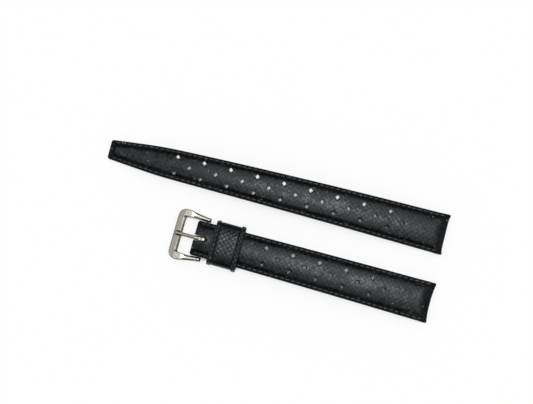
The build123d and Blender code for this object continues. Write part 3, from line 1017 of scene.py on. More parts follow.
# Half widths of the arms outside and inside, and the buckle's upper and lower heights, by distance to the
# front.
ARM_OUTSIDE = ([-1.2, 4.4, 7.6, 8.6], [9.0, 9.75, 10.3, HALF_WIDE])
ARM_INSIDE = ([0, 5.4, 8.9], [WINDOW_HALF, 7.45, 7.27])
UPPER_LINE = ([0, 4.8, 7.0, 9.6, FRONT - 0.6, FRONT], [1.2, 1.3, 2.0, 2.5, 2.5, 2.1])
LOWER_LINE = ([0, 4.8, 7.0, FRONT - 0.6, FRONT], [-1.2, -0.4, 0.7, 0.7, 1.0])
# The tongue's axis from root to tip, in X and height, and the notch that it rests in.
SHANK_ROOT = (-0.6, 0.75)
SHANK_TIP = (-11.45, 2.65)
SHANK_JOIN = -3.7
NOTCH = 1.05
NOTCH_LIFT = 0.2
NOTCH_END = 11.74
EYE_RADIUS = 1.26
EYE_HALF_WIDE = 0.94
EYE_HALF_THICK = 0.4
SHANK_HALF_THICK = 0.74
TIP_ROUND = 0.8
TAIL_ROUND = 0.35
TAIL_TAPER = 0.3
# The spring: half its length, its wire's and its coil's radius, and the number of turns in that half.
SPRING_REACH = 5.48
WIRE_RADIUS = 0.075
COIL_RADIUS = 0.44
SPRING_TURNS = 13


def shank_height(x):
    """Height of the tongue's axis above the bar's axis, on the buckle's own level."""
    slope = (SHANK_TIP[1] - SHANK_ROOT[1]) / (SHANK_TIP[0] - SHANK_ROOT[0])
    return SHANK_ROOT[1] + slope * (x - SHANK_ROOT[0])


def soften(line, reach):
    """The line with its points averaged over their neighbours, and its first and last few left alone."""
    window = np.hanning(2 * reach + 1)
    window = window / window.sum()
    padded = np.pad(line, ((reach, reach), (0, 0)), mode="reflect", reflect_type="odd")
    softened = np.stack([np.convolve(padded[:, axis], window, mode="valid") for axis in (0, 1)], -1)
    softened[: reach + 2] = line[: reach + 2]
    softened[-reach - 2 :] = line[-reach - 2 :]
    return softened


def buckle_line(arm, front, half_wide, corner):
    """One line of half the buckle from above: the arm, a quarter round and half the front bar."""
    turn = np.radians(np.linspace(0, 90, 28)[1:])
    middle = half_wide - corner
    quarter = np.stack([corner - front - corner * np.sin(turn), middle + corner * np.cos(turn)], -1)
    share = np.concatenate([np.linspace(1, 0.25, 26)[1:], np.linspace(0.25, 0, 22)[1:]])
    bar = np.stack([np.full(len(share), -front), share * middle], -1)
    return np.concatenate([arm, quarter, bar])


def buckle_lines():
    """Outer and inner line of half the buckle from above, from an arm's end to the front bar's middle."""
    eye = ARM_END * np.cos(np.radians([8, 20, 34, 50, 68, 90]))
    arm_x = np.concatenate([eye, np.linspace(0, CORNER - FRONT, 66)[1:]])
    inner_x = arm_x * np.where(arm_x < 0, (WINDOW_FRONT - WINDOW_CORNER) / (FRONT - CORNER), 1)
    outer_arm = np.stack([arm_x, np.interp(-arm_x, *ARM_OUTSIDE)], -1)
    inner_arm = np.stack([inner_x, np.interp(-arm_x, *ARM_INSIDE)], -1)
    outer = buckle_line(outer_arm, FRONT, HALF_WIDE, CORNER)
    inner = buckle_line(inner_arm, WINDOW_FRONT, WINDOW_HALF, WINDOW_CORNER)
    return soften(outer, 4), soften(inner, 3)


def buckle_sections(bevel_share):
    """Three sections with matching points: the bevelled front bar, the corner block and the round rod.

    Each point has a share of the width, from the window outwards, and a height from -1 to 1.
    """
    quarter = np.radians(np.linspace(0, 90, 6))
    outer_top = np.stack([0.87 + 0.13 * np.sin(quarter), 0.35 + 0.65 * np.cos(quarter)], -1)
    outer_low = np.stack([0.9 + 0.1 * np.cos(quarter), -0.5 - 0.5 * np.sin(quarter)], -1)
    under = np.stack([np.linspace(0.8, 0.2, 5), np.full(5, -1.0)], -1)
    inner_low = np.stack([0.1 - 0.1 * np.sin(quarter), -0.7 - 0.3 * np.cos(quarter)], -1)
    shared = np.concatenate([outer_top, outer_low, under, inner_low])
    steps = np.linspace(0, 1, 6)
    bar_wall = np.stack([0 * steps, -0.6 + 0.6 * steps], -1)
    bar_bevel = np.stack([bevel_share * steps, steps], -1)[1:]
    bar_top = np.stack([np.linspace(bevel_share + 0.01, 0.86, 20), np.ones(20)], -1)
    block_wall = np.stack([0 * steps, -0.6 + 1.1 * steps], -1)
    block_round = np.stack([0.12 - 0.12 * np.cos(quarter), 0.5 + 0.5 * np.sin(quarter)], -1)[1:]
    block_top = np.stack([np.linspace(0.14, 0.86, 20), np.ones(20)], -1)
    bar = np.concatenate([bar_wall, bar_bevel, bar_top, shared])
    block = np.concatenate([block_wall, block_round, block_top, shared])
    angle = np.unwrap(np.arctan2(block[:, 1], (block[:, 0] - 0.5) * 2))
    rod = np.stack([0.5 + 0.5 * np.cos(angle), np.sin(angle)], -1)
    return bar, block, rod


def buckle_heights(x, y, high):
    """Heights on the buckle, from each point's height in its section.

    The buckle is level at the front, lower behind it and low along the arms, which end in a half circle.
    Points on the front bar's top are lowered to the round notch that the tongue rests in.
    """
    eye = np.sqrt(np.maximum(ARM_END**2 - np.maximum(x, 0) ** 2, 0))
    top = np.where(x > 0, eye, np.interp(-x, *UPPER_LINE))
    low = np.where(x > 0, -eye, np.interp(-x, *LOWER_LINE))
    z = (top + low) / 2 + (top - low) / 2 * high
    past_notch = np.maximum(-x - (NOTCH_END - NOTCH), 0)
    inside = NOTCH**2 - y**2 - past_notch**2
    bottom = shank_height(x) + NOTCH_LIFT - np.sqrt(np.maximum(inside, 0))
    return np.where((high > -0.3) & (x < 1 - WINDOW_FRONT) & (inside > 0), np.minimum(z, bottom), z)


def buckle_frame(name, sizes, matrix):
    """The buckle as a section carried from one arm's end round the front to the other.

    The section changes from the front bar's to the corner block's and then to the rod's with distance
    behind the front. The rods and the bevel are polished, and the window's wall is darkened as painted shade.
    """
    outer, inner = buckle_lines()
    outer = np.concatenate([outer, (outer * [1, -1])[-2::-1]])
    inner = np.concatenate([inner, (inner * [1, -1])[-2::-1]])
    bevel_share = sizes.bevel / sizes.bar_width
    bar, block, rod = buckle_sections(bevel_share)
    behind = -(outer[:, :1] + inner[:, :1]) / 2
    to_block = smooth_step(10.3, 9.0, behind)[..., None]
    to_rod = smooth_step(7.3, 5.0, behind)[..., None]
    section = bar + (block - bar) * to_block
    section = section + (rod - section) * to_rod
    share, high = section[..., 0], section[..., 1]
    x = inner[:, :1] + (outer[:, :1] - inner[:, :1]) * share
    y = inner[:, 1:] + (outer[:, 1:] - inner[:, 1:]) * share
    z = buckle_heights(x, y, high)
    count, size = x.shape
    quads = tube_quads(count, size)
    path = path_length((outer + inner) / 2)[:, None]
    place = np.stack([path + 0 * x, share * sizes.bar_width / MM, z], -1)
    # Painted shade: the front bar's inner wall along the window is darkened.
    painted_window_shade = smooth_step(0.1, 0.05, share) * smooth_step(0.5, 0.25, high) * (x < -0.5)
    bevel = (share < bevel_share + 0.005) & (high > -0.05) & (to_block[..., 0] < 0.5)
    polish = np.maximum(smooth_step(6.6, 5.6, behind) + 0 * x, 0.8 * bevel)
    points = np.stack([x, y, z], -1).reshape(-1, 3)
    attributes = {"steel_place": place.reshape(-1, 3), "polish": polish.ravel(), "painted_window_shade": painted_window_shade.ravel()}
    return mesh_object(name, points, quads, matrix=matrix, attributes=attributes, sharp_degrees=34)


def tongue_path():
    """Middle line of the tongue, from its tip to its eye's end, and the distance at which the bend starts.

    It is a straight shank, a cubic curve that leaves it smoothly, and an arc round the bar.
    """
    start = np.array(SHANK_TIP)
    join = np.array([SHANK_JOIN, shank_height(SHANK_JOIN)])
    straight = start + (join - start) * np.linspace(0, 1, 60)[:, None]
    forward = (join - start) / np.linalg.norm(join - start)
    enter = math.radians(96)
    meet = EYE_RADIUS * np.array([math.cos(enter), math.sin(enter)])
    arrive = np.array([math.sin(enter), -math.cos(enter)])
    reach = np.linalg.norm(meet - join) / 3
    first, second = join + forward * reach, meet - arrive * reach
    t = np.linspace(0, 1, 22)[1:, None]
    bend = (1 - t) ** 3 * join + 3 * (1 - t) ** 2 * t * first + 3 * (1 - t) * t**2 * second + t**3 * meet
    wrap = np.linspace(enter, math.radians(-162), 64)[1:]
    eye = EYE_RADIUS * np.stack([np.cos(wrap), np.sin(wrap)], -1)
    path = np.concatenate([straight, bend, eye])
    return path, path_length(path)[len(straight) - 1]


def tongue_sizes(gone, at_bend, shank_half):
    """Half width and half thickness along the tongue: a domed tip, a round shank and a flat, wider eye."""
    to_eye = smooth_step(at_bend - 0.3, at_bend + 0.9, gone)
    to_flat = smooth_step(at_bend, at_bend + 3.0, gone)
    half_wide = shank_half * (0.94 + 0.06 * gone / gone[-1]) + (EYE_HALF_WIDE - shank_half) * to_eye
    half_wide = half_wide - TAIL_TAPER * smooth_step(at_bend + 3.6, at_bend + 5.6, gone)
    half_thick = SHANK_HALF_THICK + (EYE_HALF_THICK - SHANK_HALF_THICK) * to_flat
    tip = np.sqrt(np.clip(1 - (1 - np.clip(gone / TIP_ROUND, 0, 1)) ** 2, 0.02, 1))
    tail = np.sqrt(np.clip(1 - (1 - np.clip((gone[-1] - gone) / TAIL_ROUND, 0, 1)) ** 2, 0.06, 1))
    return half_wide * tip * np.maximum(tail, 0.5), half_thick * tip * tail


def tongue(name, sizes, matrix):
    """The tongue: a nearly round wire carried along its path, flattened where it is bent round the bar."""
    path, at_bend = tongue_path()
    gone = path_length(path)
    half_wide, half_thick = tongue_sizes(gone, at_bend, sizes.tongue_width / MM / 2)
    tangent = np.gradient(path, axis=0)
    tangent = tangent / np.linalg.norm(tangent, axis=1)[:, None]
    sides = 28
    shape_y, shape_up = superellipse(np.linspace(0, 2 * math.pi, sides, endpoint=False), 2.2)
    y = half_wide[:, None] * shape_y
    up = half_thick[:, None] * shape_up
    x = path[:, :1] - tangent[:, 1:] * up
    z = path[:, 1:] + tangent[:, :1] * up
    points = np.stack([x, y, z], -1).reshape(-1, 3)
    count = len(path)
    quads = tube_quads(count, sides)
    place = np.stack([gone[:, None] + 0 * y, y, up], -1).reshape(-1, 3)
    polish = np.full(count * sides, 0.8)
    attributes = {"steel_place": place, "polish": polish, "painted_window_shade": 0 * polish}
    return mesh_object(name, points, quads, matrix=matrix, attributes=attributes, sharp_degrees=50)


def spring_half(name, side, matrix):
    """Half of the bar's spring: a wire wound on a helix from the bar's middle out to one tip's head."""
    share = np.linspace(0, 1, SPRING_TURNS * 22)
    angle = share * SPRING_TURNS * 2 * math.pi
    y = side * (share * (SPRING_REACH - WIRE_RADIUS) + WIRE_RADIUS * 0.2)
    out = np.stack([np.cos(angle), 0 * angle, np.sin(angle) * side], -1)
    centre = COIL_RADIUS * out + np.stack([0 * y, y, 0 * y], -1)
    tangent = np.gradient(centre, axis=0)
    tangent = tangent / np.linalg.norm(tangent, axis=1)[:, None]
    up = np.cross(tangent, out)
    sides = 8
    ring = np.linspace(0, 2 * math.pi, sides, endpoint=False)[None, :, None]
    points = centre[:, None] + WIRE_RADIUS * (out[:, None] * np.cos(ring) + up[:, None] * np.sin(ring))
    return mesh_object(name, points.reshape(-1, 3), tube_quads(len(share), sides), matrix=matrix)


def bar_matrix(turned):
    """Place of the spring bar's axis, with the buckle's turn at rest where that is asked for."""
    low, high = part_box("spring_bar_tube")
    place = Matrix.Translation((low + high) / 2)
    if turned:
        degrees = bpy.context.scene.strap_steel.rest_degrees
        place = place @ Matrix.Rotation(math.radians(-degrees), 4, "Y")
    return place


# Shader helpers and shared groups.

RIBS_PER_STRAND = 3


def set_inputs(tree, sockets):
    """Sets each socket to its value, or links it where the value is another node's socket."""
    for socket, value in sockets:
        if isinstance(value, bpy.types.NodeSocket):
            tree.links.new(value, socket)
        else:
            socket.default_value = value


def add_node(tree, kind, settings=None, inputs=None):
    """A node with its settings, and with each input set to a value or linked from a socket."""
    made = tree.nodes.new(kind)
    for key, value in (settings or {}).items():
        setattr(made, key, value)
    set_inputs(tree, [(made.inputs[key], value) for key, value in (inputs or {}).items()])
    return made


def maths(tree, operation, first, second=0.0, third=0.0, clamp=False):
    """The output of one Math node."""
    inputs = {0: first, 1: second, 2: third}
    return add_node(tree, "ShaderNodeMath", {"operation": operation, "use_clamp": clamp}, inputs).outputs[0]


def remap(tree, value, low, high, to_low=0.0, to_high=1.0, smooth=True):
    """The output of a Map Range node."""
    settings = {"interpolation_type": "SMOOTHSTEP" if smooth else "LINEAR"}
    inputs = {"Value": value, "From Min": low, "From Max": high, "To Min": to_low, "To Max": to_high}
    return add_node(tree, "ShaderNodeMapRange", settings, inputs).outputs["Result"]


def noise(tree, place, scale, detail=2.0, roughness=0.5):
    """A Noise Texture node."""
    inputs = {"Vector": place, "Scale": scale, "Detail": detail, "Roughness": roughness}
    return add_node(tree, "ShaderNodeTexNoise", None, inputs)


def attribute(tree, name, output="Fac"):
    """The output of an Attribute node."""
    return add_node(tree, "ShaderNodeAttribute", {"attribute_name": name}).outputs[output]


def object_place(tree):
    """A point's place in the object's own coordinates."""
    return add_node(tree, "ShaderNodeTexCoord").outputs["Object"]


def mix_colour(tree, share, first, second):
    """The output of a colour mix."""
    made = add_node(tree, "ShaderNodeMix", {"data_type": "RGBA"})
    set_inputs(tree, [(made.inputs[0], share), (made.inputs[6], first), (made.inputs[7], second)])
    return made.outputs[2]


def mix_value(tree, share, first, second):
    """The output of a mix of two values."""
    return add_node(tree, "ShaderNodeMix", {"data_type": "FLOAT"}, {0: share, 2: first, 3: second}).outputs[0]


def shade(tint, factor=1.0):
    """A colour made lighter or darker, as a shader's socket takes it."""
    return (*[part * factor for part in tint], 1)


def new_group(name, inputs, outputs):
    """An empty shader group with its named sockets. Returns the group, its input node and its output node."""
    group = bpy.data.node_groups.new(name, "ShaderNodeTree")
    for label, kind, default in inputs:
        socket = group.interface.new_socket(name=label, in_out="INPUT", socket_type=kind)
        if default is not None:
            socket.default_value = default
    for label in outputs:
        group.interface.new_socket(name=label, in_out="OUTPUT", socket_type="NodeSocketFloat")
    return group, group.nodes.new("NodeGroupInput"), group.nodes.new("NodeGroupOutput")


def weave_group(name):
    """Threads of the woven pattern: fine ribs along each strand, and a mask of the valleys between them."""
    inputs = [("Place", "NodeSocketVector", None), ("Pitch", "NodeSocketFloat", 1.52)]
    group, given, result = new_group(name, inputs, ["Height", "Valley"])
    split = add_node(group, "ShaderNodeSeparateXYZ", None, {"Vector": given.outputs["Place"]})
    scale = maths(group, "MULTIPLY", given.outputs["Pitch"], math.sqrt(2))
    a = maths(group, "DIVIDE", maths(group, "ADD", split.outputs[0], split.outputs[1]), scale)
    b = maths(group, "DIVIDE", maths(group, "SUBTRACT", split.outputs[0], split.outputs[1]), scale)
    cells = maths(group, "ADD", maths(group, "FLOOR", a), maths(group, "FLOOR", b))
    odd = maths(group, "FLOORED_MODULO", cells, 2.0)
    in_a = maths(group, "SUBTRACT", maths(group, "FRACT", a), 0.5)
    in_b = maths(group, "SUBTRACT", maths(group, "FRACT", b), 0.5)
    across = mix_value(group, odd, in_b, in_a)
    lengthwise = mix_value(group, odd, in_a, in_b)
    ribs = maths(group, "COSINE", maths(group, "MULTIPLY", across, 2 * math.pi * RIBS_PER_STRAND))
    across_edge = remap(group, maths(group, "ABSOLUTE", across), 0.3, 0.5)
    end_edge = remap(group, maths(group, "ABSOLUTE", lengthwise), 0.34, 0.5)
    valley = maths(group, "MAXIMUM", across_edge, maths(group, "MULTIPLY", end_edge, 0.8))
    ribs = maths(group, "MULTIPLY", ribs, 0.35)
    height = maths(group, "SUBTRACT", ribs, maths(group, "MULTIPLY", valley, 1.3))
    set_inputs(group, [(result.inputs["Height"], height), (result.inputs["Valley"], valley)])
    return group


def grain_group(name):
    """Fine and coarse noise for a worn, slightly dirty surface."""
    inputs = [("Place", "NodeSocketVector", None), ("Scale", "NodeSocketFloat", 1.0)]
    group, given, result = new_group(name, inputs, ["Fine", "Patches"])
    fine_scale = maths(group, "MULTIPLY", given.outputs["Scale"], 4200.0)
    patch_scale = maths(group, "MULTIPLY", given.outputs["Scale"], 230.0)
    fine = noise(group, given.outputs["Place"], fine_scale, 3.0).outputs[0]
    patches = noise(group, given.outputs["Place"], patch_scale, 4.0, 0.6).outputs[0]
    set_inputs(group, [(result.inputs["Fine"], fine), (result.inputs["Patches"], patches)])
    return group


def speck_group(name):
    """Scattered small specks of dust: one in a few cells of a Voronoi pattern, each with its own strength."""
    inputs = [("Place", "NodeSocketVector", None)]
    inputs += [("Scale", "NodeSocketFloat", 700.0), ("Share", "NodeSocketFloat", 0.1)]
    group, given, result = new_group(name, inputs, ["Mask"])
    blur = {0: noise(group, given.outputs["Place"], 1500.0).outputs["Color"], "Scale": 0.0006}
    shift = add_node(group, "ShaderNodeVectorMath", {"operation": "SCALE"}, blur).outputs[0]
    places = {0: given.outputs["Place"], 1: shift}
    moved = add_node(group, "ShaderNodeVectorMath", {"operation": "ADD"}, places).outputs[0]
    cell_inputs = {"Vector": moved, "Scale": given.outputs["Scale"]}
    cells = add_node(group, "ShaderNodeTexVoronoi", None, cell_inputs)
    pick = add_node(group, "ShaderNodeSeparateColor", None, {"Color": cells.outputs["Color"]})
    limit = maths(group, "SUBTRACT", 1.0, given.outputs["Share"])
    chosen = maths(group, "GREATER_THAN", pick.outputs[0], limit)
    spot = remap(group, cells.outputs["Distance"], 0.36, 0.16)
    mask = maths(group, "MULTIPLY", maths(group, "MULTIPLY", chosen, spot), pick.outputs[1])
    set_inputs(group, [(result.inputs["Mask"], mask)])
    return group


def brush_group(name):
    """Fine brushed lines along a piece: noise stretched along its length."""
    inputs = [("Place", "NodeSocketVector", None), ("Stretch", "NodeSocketFloat", 0.05)]
    group, given, result = new_group(name, inputs, ["Height", "Streaks"])
    split = add_node(group, "ShaderNodeSeparateXYZ", None, {"Vector": given.outputs["Place"]})
    long_way = maths(group, "MULTIPLY", split.outputs[0], given.outputs["Stretch"])
    parts = {0: long_way, 1: split.outputs[1], 2: split.outputs[2]}
    joined = add_node(group, "ShaderNodeCombineXYZ", None, parts).outputs[0]
    fine = noise(group, joined, 14.0, 5.0).outputs[0]
    broad = noise(group, joined, 2.5, 3.0).outputs[0]
    set_inputs(group, [(result.inputs["Height"], fine), (result.inputs["Streaks"], broad)])
    return group


GROUP_MAKERS = {
    "Woven strands": weave_group,
    "Worn grain": grain_group,
    "Dust specks": speck_group,
    "Brushed lines": brush_group,
}


def place_group(tree, name, inputs):
    """A shader group, made the first time it is asked for, placed in a material. Returns its outputs."""
    group = bpy.data.node_groups.get(name) or GROUP_MAKERS[name](name)
    return add_node(tree, "ShaderNodeGroup", {"node_tree": group}, inputs).outputs


# Materials.


def new_material(name):
    """An empty material with a Principled shader joined to its output."""
    material = bpy.data.materials.new(name)
    material.use_nodes = True
    tree = material.node_tree
    tree.nodes.clear()
    shader = tree.nodes.new("ShaderNodeBsdfPrincipled")
    output = tree.nodes.new("ShaderNodeOutputMaterial")
    tree.links.new(shader.outputs[0], output.inputs["Surface"])
    return material, tree, shader


def rubber_colour(tree, masks, dust_share):
    """The rubber's colour: dark with lighter patches, weave valleys and plain parts darkened as painted
    shade, stitches lightened partly as wear and partly as a painted highlight, and dust specks.
    """
    finishes = bpy.context.scene.strap_finishes
    rubber = finishes.rubber
    grain, mottle = masks["grain"]["Patches"], masks["mottle"]["Patches"]
    base = mix_colour(tree, remap(tree, grain, 0.38, 0.68), shade(rubber), shade(rubber, 2.6))
    base = mix_colour(tree, remap(tree, mottle, 0.44, 0.74, 0.0, 0.75), base, shade(finishes.worn_rubber))
    # Painted shade: the weave's valleys are darkened in colour.
    base = mix_colour(tree, maths(tree, "MULTIPLY", masks["valley"], 0.7), base, shade(rubber, 0.4))
    # Painted shade: bands, lug ends, undersides and the keeper's lower half, inside and beads are darkened.
    base = mix_colour(tree, masks["plain_painted_shade"], base, shade(rubber, 0.4))
    # Stitches and rims are lightened in colour, partly as wear and partly as a painted highlight of their
    # tops.
    worn = remap(tree, mottle, 0.3, 0.65, 0.45, 1.0)
    base = mix_colour(tree, maths(tree, "MULTIPLY", masks["sewn"], worn), base, shade(rubber, 15.0))
    specks = place_group(tree, "Dust specks", {"Place": masks["spot"], "Scale": 900.0, "Share": dust_share})
    dust = maths(tree, "MULTIPLY", specks["Mask"], remap(tree, grain, 0.38, 0.58))
    return mix_colour(tree, dust, base, shade(finishes.dust))


def rubber_roughness(tree, masks, weave_dull, gloss):
    """The rubber's roughness: glossy patches, duller valleys, and matte bands with glossier threads."""
    rough = remap(tree, masks["grain"]["Patches"], 0.35, 0.65, *gloss)
    rough = maths(tree, "ADD", rough, remap(tree, masks["mottle"]["Patches"], 0.35, 0.65, -0.06, 0.12))
    rough = maths(tree, "ADD", rough, maths(tree, "MULTIPLY", masks["valley"], weave_dull))
    bare = maths(tree, "MULTIPLY", attribute(tree, "matte"), maths(tree, "SUBTRACT", 1.0, masks["sewn"]))
    return maths(tree, "ADD", rough, maths(tree, "MULTIPLY", bare, 0.5), clamp=True)


def rubber_material(name, weave_strength, weave_dull, dust_share, gloss):
    """Black moulded rubber: woven threads, stitches lightened partly as wear and partly as a painted
    highlight, worn patches, dust specks and edges darkened as painted shade.
    """
    material, tree, shader = new_material(name)
    spot = object_place(tree)
    weave = place_group(tree, "Woven strands", {"Place": attribute(tree, "strap_place", "Vector")})
    plain_painted_shade = attribute(tree, "plain_painted_shade")
    on_face = maths(tree, "SUBTRACT", 1.0, plain_painted_shade)
    masks = {
        "spot": spot,
        "plain_painted_shade": plain_painted_shade,
        "grain": place_group(tree, "Worn grain", {"Place": spot}),
        "mottle": place_group(tree, "Worn grain", {"Place": spot, "Scale": 3.2}),
        "valley": maths(tree, "MULTIPLY", weave["Valley"], on_face),
        "sewn": remap(tree, attribute(tree, "stitch"), 0.25, 0.75),
    }
    threads = maths(tree, "MULTIPLY", weave["Height"], on_face)
    grain_height = maths(tree, "MULTIPLY", masks["grain"]["Fine"], 0.5)
    height = maths(tree, "ADD", maths(tree, "MULTIPLY", threads, weave_strength), grain_height)
    raised = {"Height": height, "Strength": 0.5, "Distance": BUMP_DEPTH}
    bump = add_node(tree, "ShaderNodeBump", None, raised)
    tree.links.new(rubber_colour(tree, masks, dust_share), shader.inputs["Base Color"])
    tree.links.new(rubber_roughness(tree, masks, weave_dull, gloss), shader.inputs["Roughness"])
    tree.links.new(bump.outputs[0], shader.inputs["Normal"])
    shader.inputs["Specular IOR Level"].default_value = 0.28
    shader.inputs["Specular Tint"].default_value = shade(bpy.context.scene.strap_finishes.shine)
    return material


def steel_material(name, tint, brushed_rough, polished_rough):
    """Stainless steel: brushed lines where it isn't polished, streaks, stains, painted shade on the window's
    wall and fine grain.
    """
    finishes = bpy.context.scene.strap_finishes
    material, tree, shader = new_material(name)
    polish = attribute(tree, "polish")
    lines = place_group(tree, "Brushed lines", {"Place": attribute(tree, "steel_place", "Vector")})
    grain = place_group(tree, "Worn grain", {"Place": object_place(tree), "Scale": 1.6})
    base = mix_colour(tree, remap(tree, lines["Streaks"], 0.3, 0.7), shade(tint, 0.86), shade(tint))
    base = mix_colour(tree, polish, mix_colour(tree, 0.32, base, shade(finishes.brushed_shade)), base)
    stained = remap(tree, grain["Patches"], 0.62, 0.75, 0.0, 0.35)
    base = mix_colour(tree, stained, base, shade(finishes.stain))
    # Painted shade darkens the window's wall.
    painted_window_share = maths(tree, "MULTIPLY", attribute(tree, "painted_window_shade"), 0.85)
    base = mix_colour(tree, painted_window_share, base, shade(finishes.painted_window_shade))
    rough = maths(tree, "MULTIPLY_ADD", polish, polished_rough - brushed_rough, brushed_rough)
    rough = maths(tree, "ADD", rough, remap(tree, lines["Height"], 0.3, 0.7, -0.05, 0.05))
    height = maths(tree, "MULTIPLY", lines["Height"], maths(tree, "SUBTRACT", 1.0, polish))
    height = maths(tree, "ADD", height, maths(tree, "MULTIPLY", grain["Fine"], 0.15))
    raised = {"Height": height, "Strength": 0.35, "Distance": BUMP_DEPTH}
    bump = add_node(tree, "ShaderNodeBump", None, raised)
    tree.links.new(base, shader.inputs["Base Color"])
    tree.links.new(rough, shader.inputs["Roughness"])
    tree.links.new(bump.outputs[0], shader.inputs["Normal"])
    shader.inputs["Metallic"].default_value = 1.0
    return material


def hidden_steel_material(name, tint):
    """Plain turned steel for the bar and its spring, with a fine and a coarse grain on Object coordinates."""
    material, tree, shader = new_material(name)
    grain = place_group(tree, "Worn grain", {"Place": object_place(tree), "Scale": 2.0})
    base = mix_colour(tree, grain["Patches"], shade(tint, 0.8), shade(tint))
    tree.links.new(base, shader.inputs["Base Color"])
    tree.links.new(remap(tree, grain["Fine"], 0.3, 0.7, 0.5, 0.62), shader.inputs["Roughness"])
    shader.inputs["Metallic"].default_value = 1.0
    return material


def openness(tree, normal=None):
    """How open the space round a point of the table is, 0 to 1, on the side that a normal leans to."""
    inputs = {"Distance": SHADOW_REACH}
    if normal:
        parts = dict(enumerate(normal))
        inputs["Normal"] = add_node(tree, "ShaderNodeCombineXYZ", None, parts).outputs[0]
    return add_node(tree, "ShaderNodeAmbientOcclusion", {"samples": 8}, inputs).outputs["AO"]


def table_glow(tree):
    """Share of white on the table: none in the contact shadows and full in the open.

    Beneath the strap it depends on how open the far side is, so the far holes are bright and the near dim:
    this is painted light, a glow for light that comes in under the strap from the far side.
    """
    open_sky = openness(tree)
    painted_glow_beneath = remap(tree, openness(tree, FAR_SIDE), 0.34, 0.76, 0.01, 0.82, False)
    share = maths(tree, "MAXIMUM", painted_glow_beneath, remap(tree, open_sky, 0.24, 0.36, 0.0, 0.82))
    return maths(tree, "ADD", share, remap(tree, open_sky, 0.72, 1.0, 0.0, 0.17, False))


def floor_material(name, tint):
    """Pale table: its own lit colour, white for what sees it directly where no shadow lies on it, and a
    painted glow beneath the strap.
    """
    material, tree, shader = new_material(name)
    patches = noise(tree, object_place(tree), 9.0, 4.0)
    base = mix_colour(tree, patches.outputs[0], shade(tint, 0.985), shade(tint))
    tree.links.new(base, shader.inputs["Base Color"])
    shader.inputs["Roughness"].default_value = 1.0
    shader.inputs["Specular IOR Level"].default_value = 0.0
    path = tree.nodes.new("ShaderNodeLightPath")
    direct = maths(tree, "MAXIMUM", path.outputs["Is Camera Ray"], path.outputs["Is Glossy Ray"])
    direct = maths(tree, "MAXIMUM", direct, path.outputs["Is Transmission Ray"])
    share = maths(tree, "MULTIPLY", table_glow(tree), direct)
    glow = add_node(tree, "ShaderNodeEmission", None, {"Color": WHITE, "Strength": 1.0})
    inputs = {0: share, 1: shader.outputs[0], 2: glow.outputs[0]}
    mix = add_node(tree, "ShaderNodeMixShader", None, inputs)
    output = next(node for node in tree.nodes if node.type == "OUTPUT_MATERIAL")
    tree.links.new(mix.outputs[0], output.inputs["Surface"])
    return material


# Operators.

BRUSHED = {"brushed_rough": 0.42, "polished_rough": 0.21}
POLISHED = {"brushed_rough": 0.3, "polished_rough": 0.2}
STRAP_RUBBER = {"weave_strength": 0.6, "weave_dull": 0.07, "dust_share": 0.26, "gloss": (0.24, 0.37)}
KEEPER_RUBBER = {"weave_strength": 1.3, "weave_dull": 0.28, "dust_share": 0.10, "gloss": (0.22, 0.32)}


def shared_material(name, maker, **given):
    """A material by its name, made the first time it is asked for."""
    return bpy.data.materials.get(name) or maker(name, **given)


def dress(piece, body, slot_name, material, *nodes):
    """Gives a piece its body and material, and hides the CAD nodes that it stands for. slot_name is not used.
    """
    piece.data.materials.clear()
    piece.data.materials.append(material)
    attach(piece, body)
    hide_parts(*nodes)


class STRAP_OT_long_half(bpy.types.Operator):
    """Builds the long rubber half with its rows of diamond holes"""

    bl_idname = "strap.long_half"
    bl_label = "Long half"

    def execute(self, context):
        matrix = half_matrix("lug_bore_long")
        piece = rubber_half("long_strap_rubber", LONG, context.scene.strap_sizes, matrix)
        cut_round_holes(piece, [(LUG_BORE_PLACE, NOSE_RADIUS, LUG_BORE_RADIUS)], matrix)
        rubber = shared_material("Strap rubber", rubber_material, **STRAP_RUBBER)
        dress(piece, "long_half", "rubber", rubber, "long_strap")
        return {"FINISHED"}


class STRAP_OT_short_half(bpy.types.Operator):
    """Builds the short rubber half with its holes, bores and tongue slot"""

    bl_idname = "strap.short_half"
    bl_label = "Short half"

    def execute(self, context):
        matrix = half_matrix("lug_bore_short")
        piece = rubber_half("short_strap_rubber", SHORT, context.scene.strap_sizes, matrix)
        low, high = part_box("spring_bar_tube")
        local = matrix.inverted() @ ((low + high) / 2)
        lug_bore = (LUG_BORE_PLACE, NOSE_RADIUS, LUG_BORE_RADIUS)
        cut_round_holes(piece, [lug_bore, (local.x / MM, local.z / MM, BUCKLE_BORE_RADIUS)], matrix)
        rubber = shared_material("Strap rubber", rubber_material, **STRAP_RUBBER)
        dress(piece, "short_half", "rubber", rubber, "short_strap")
        return {"FINISHED"}


class STRAP_OT_keeper(bpy.types.Operator):
    """Builds the loose keeper with its two stitched beads"""

    bl_idname = "strap.keeper"
    bl_label = "Keeper"

    def execute(self, context):
        piece = keeper_loop("keeper_rubber", context.scene.strap_sizes)
        rubber = shared_material("Keeper rubber", rubber_material, **KEEPER_RUBBER)
        dress(piece, "keeper_loop", "rubber", rubber, "keeper")
        return {"FINISHED"}


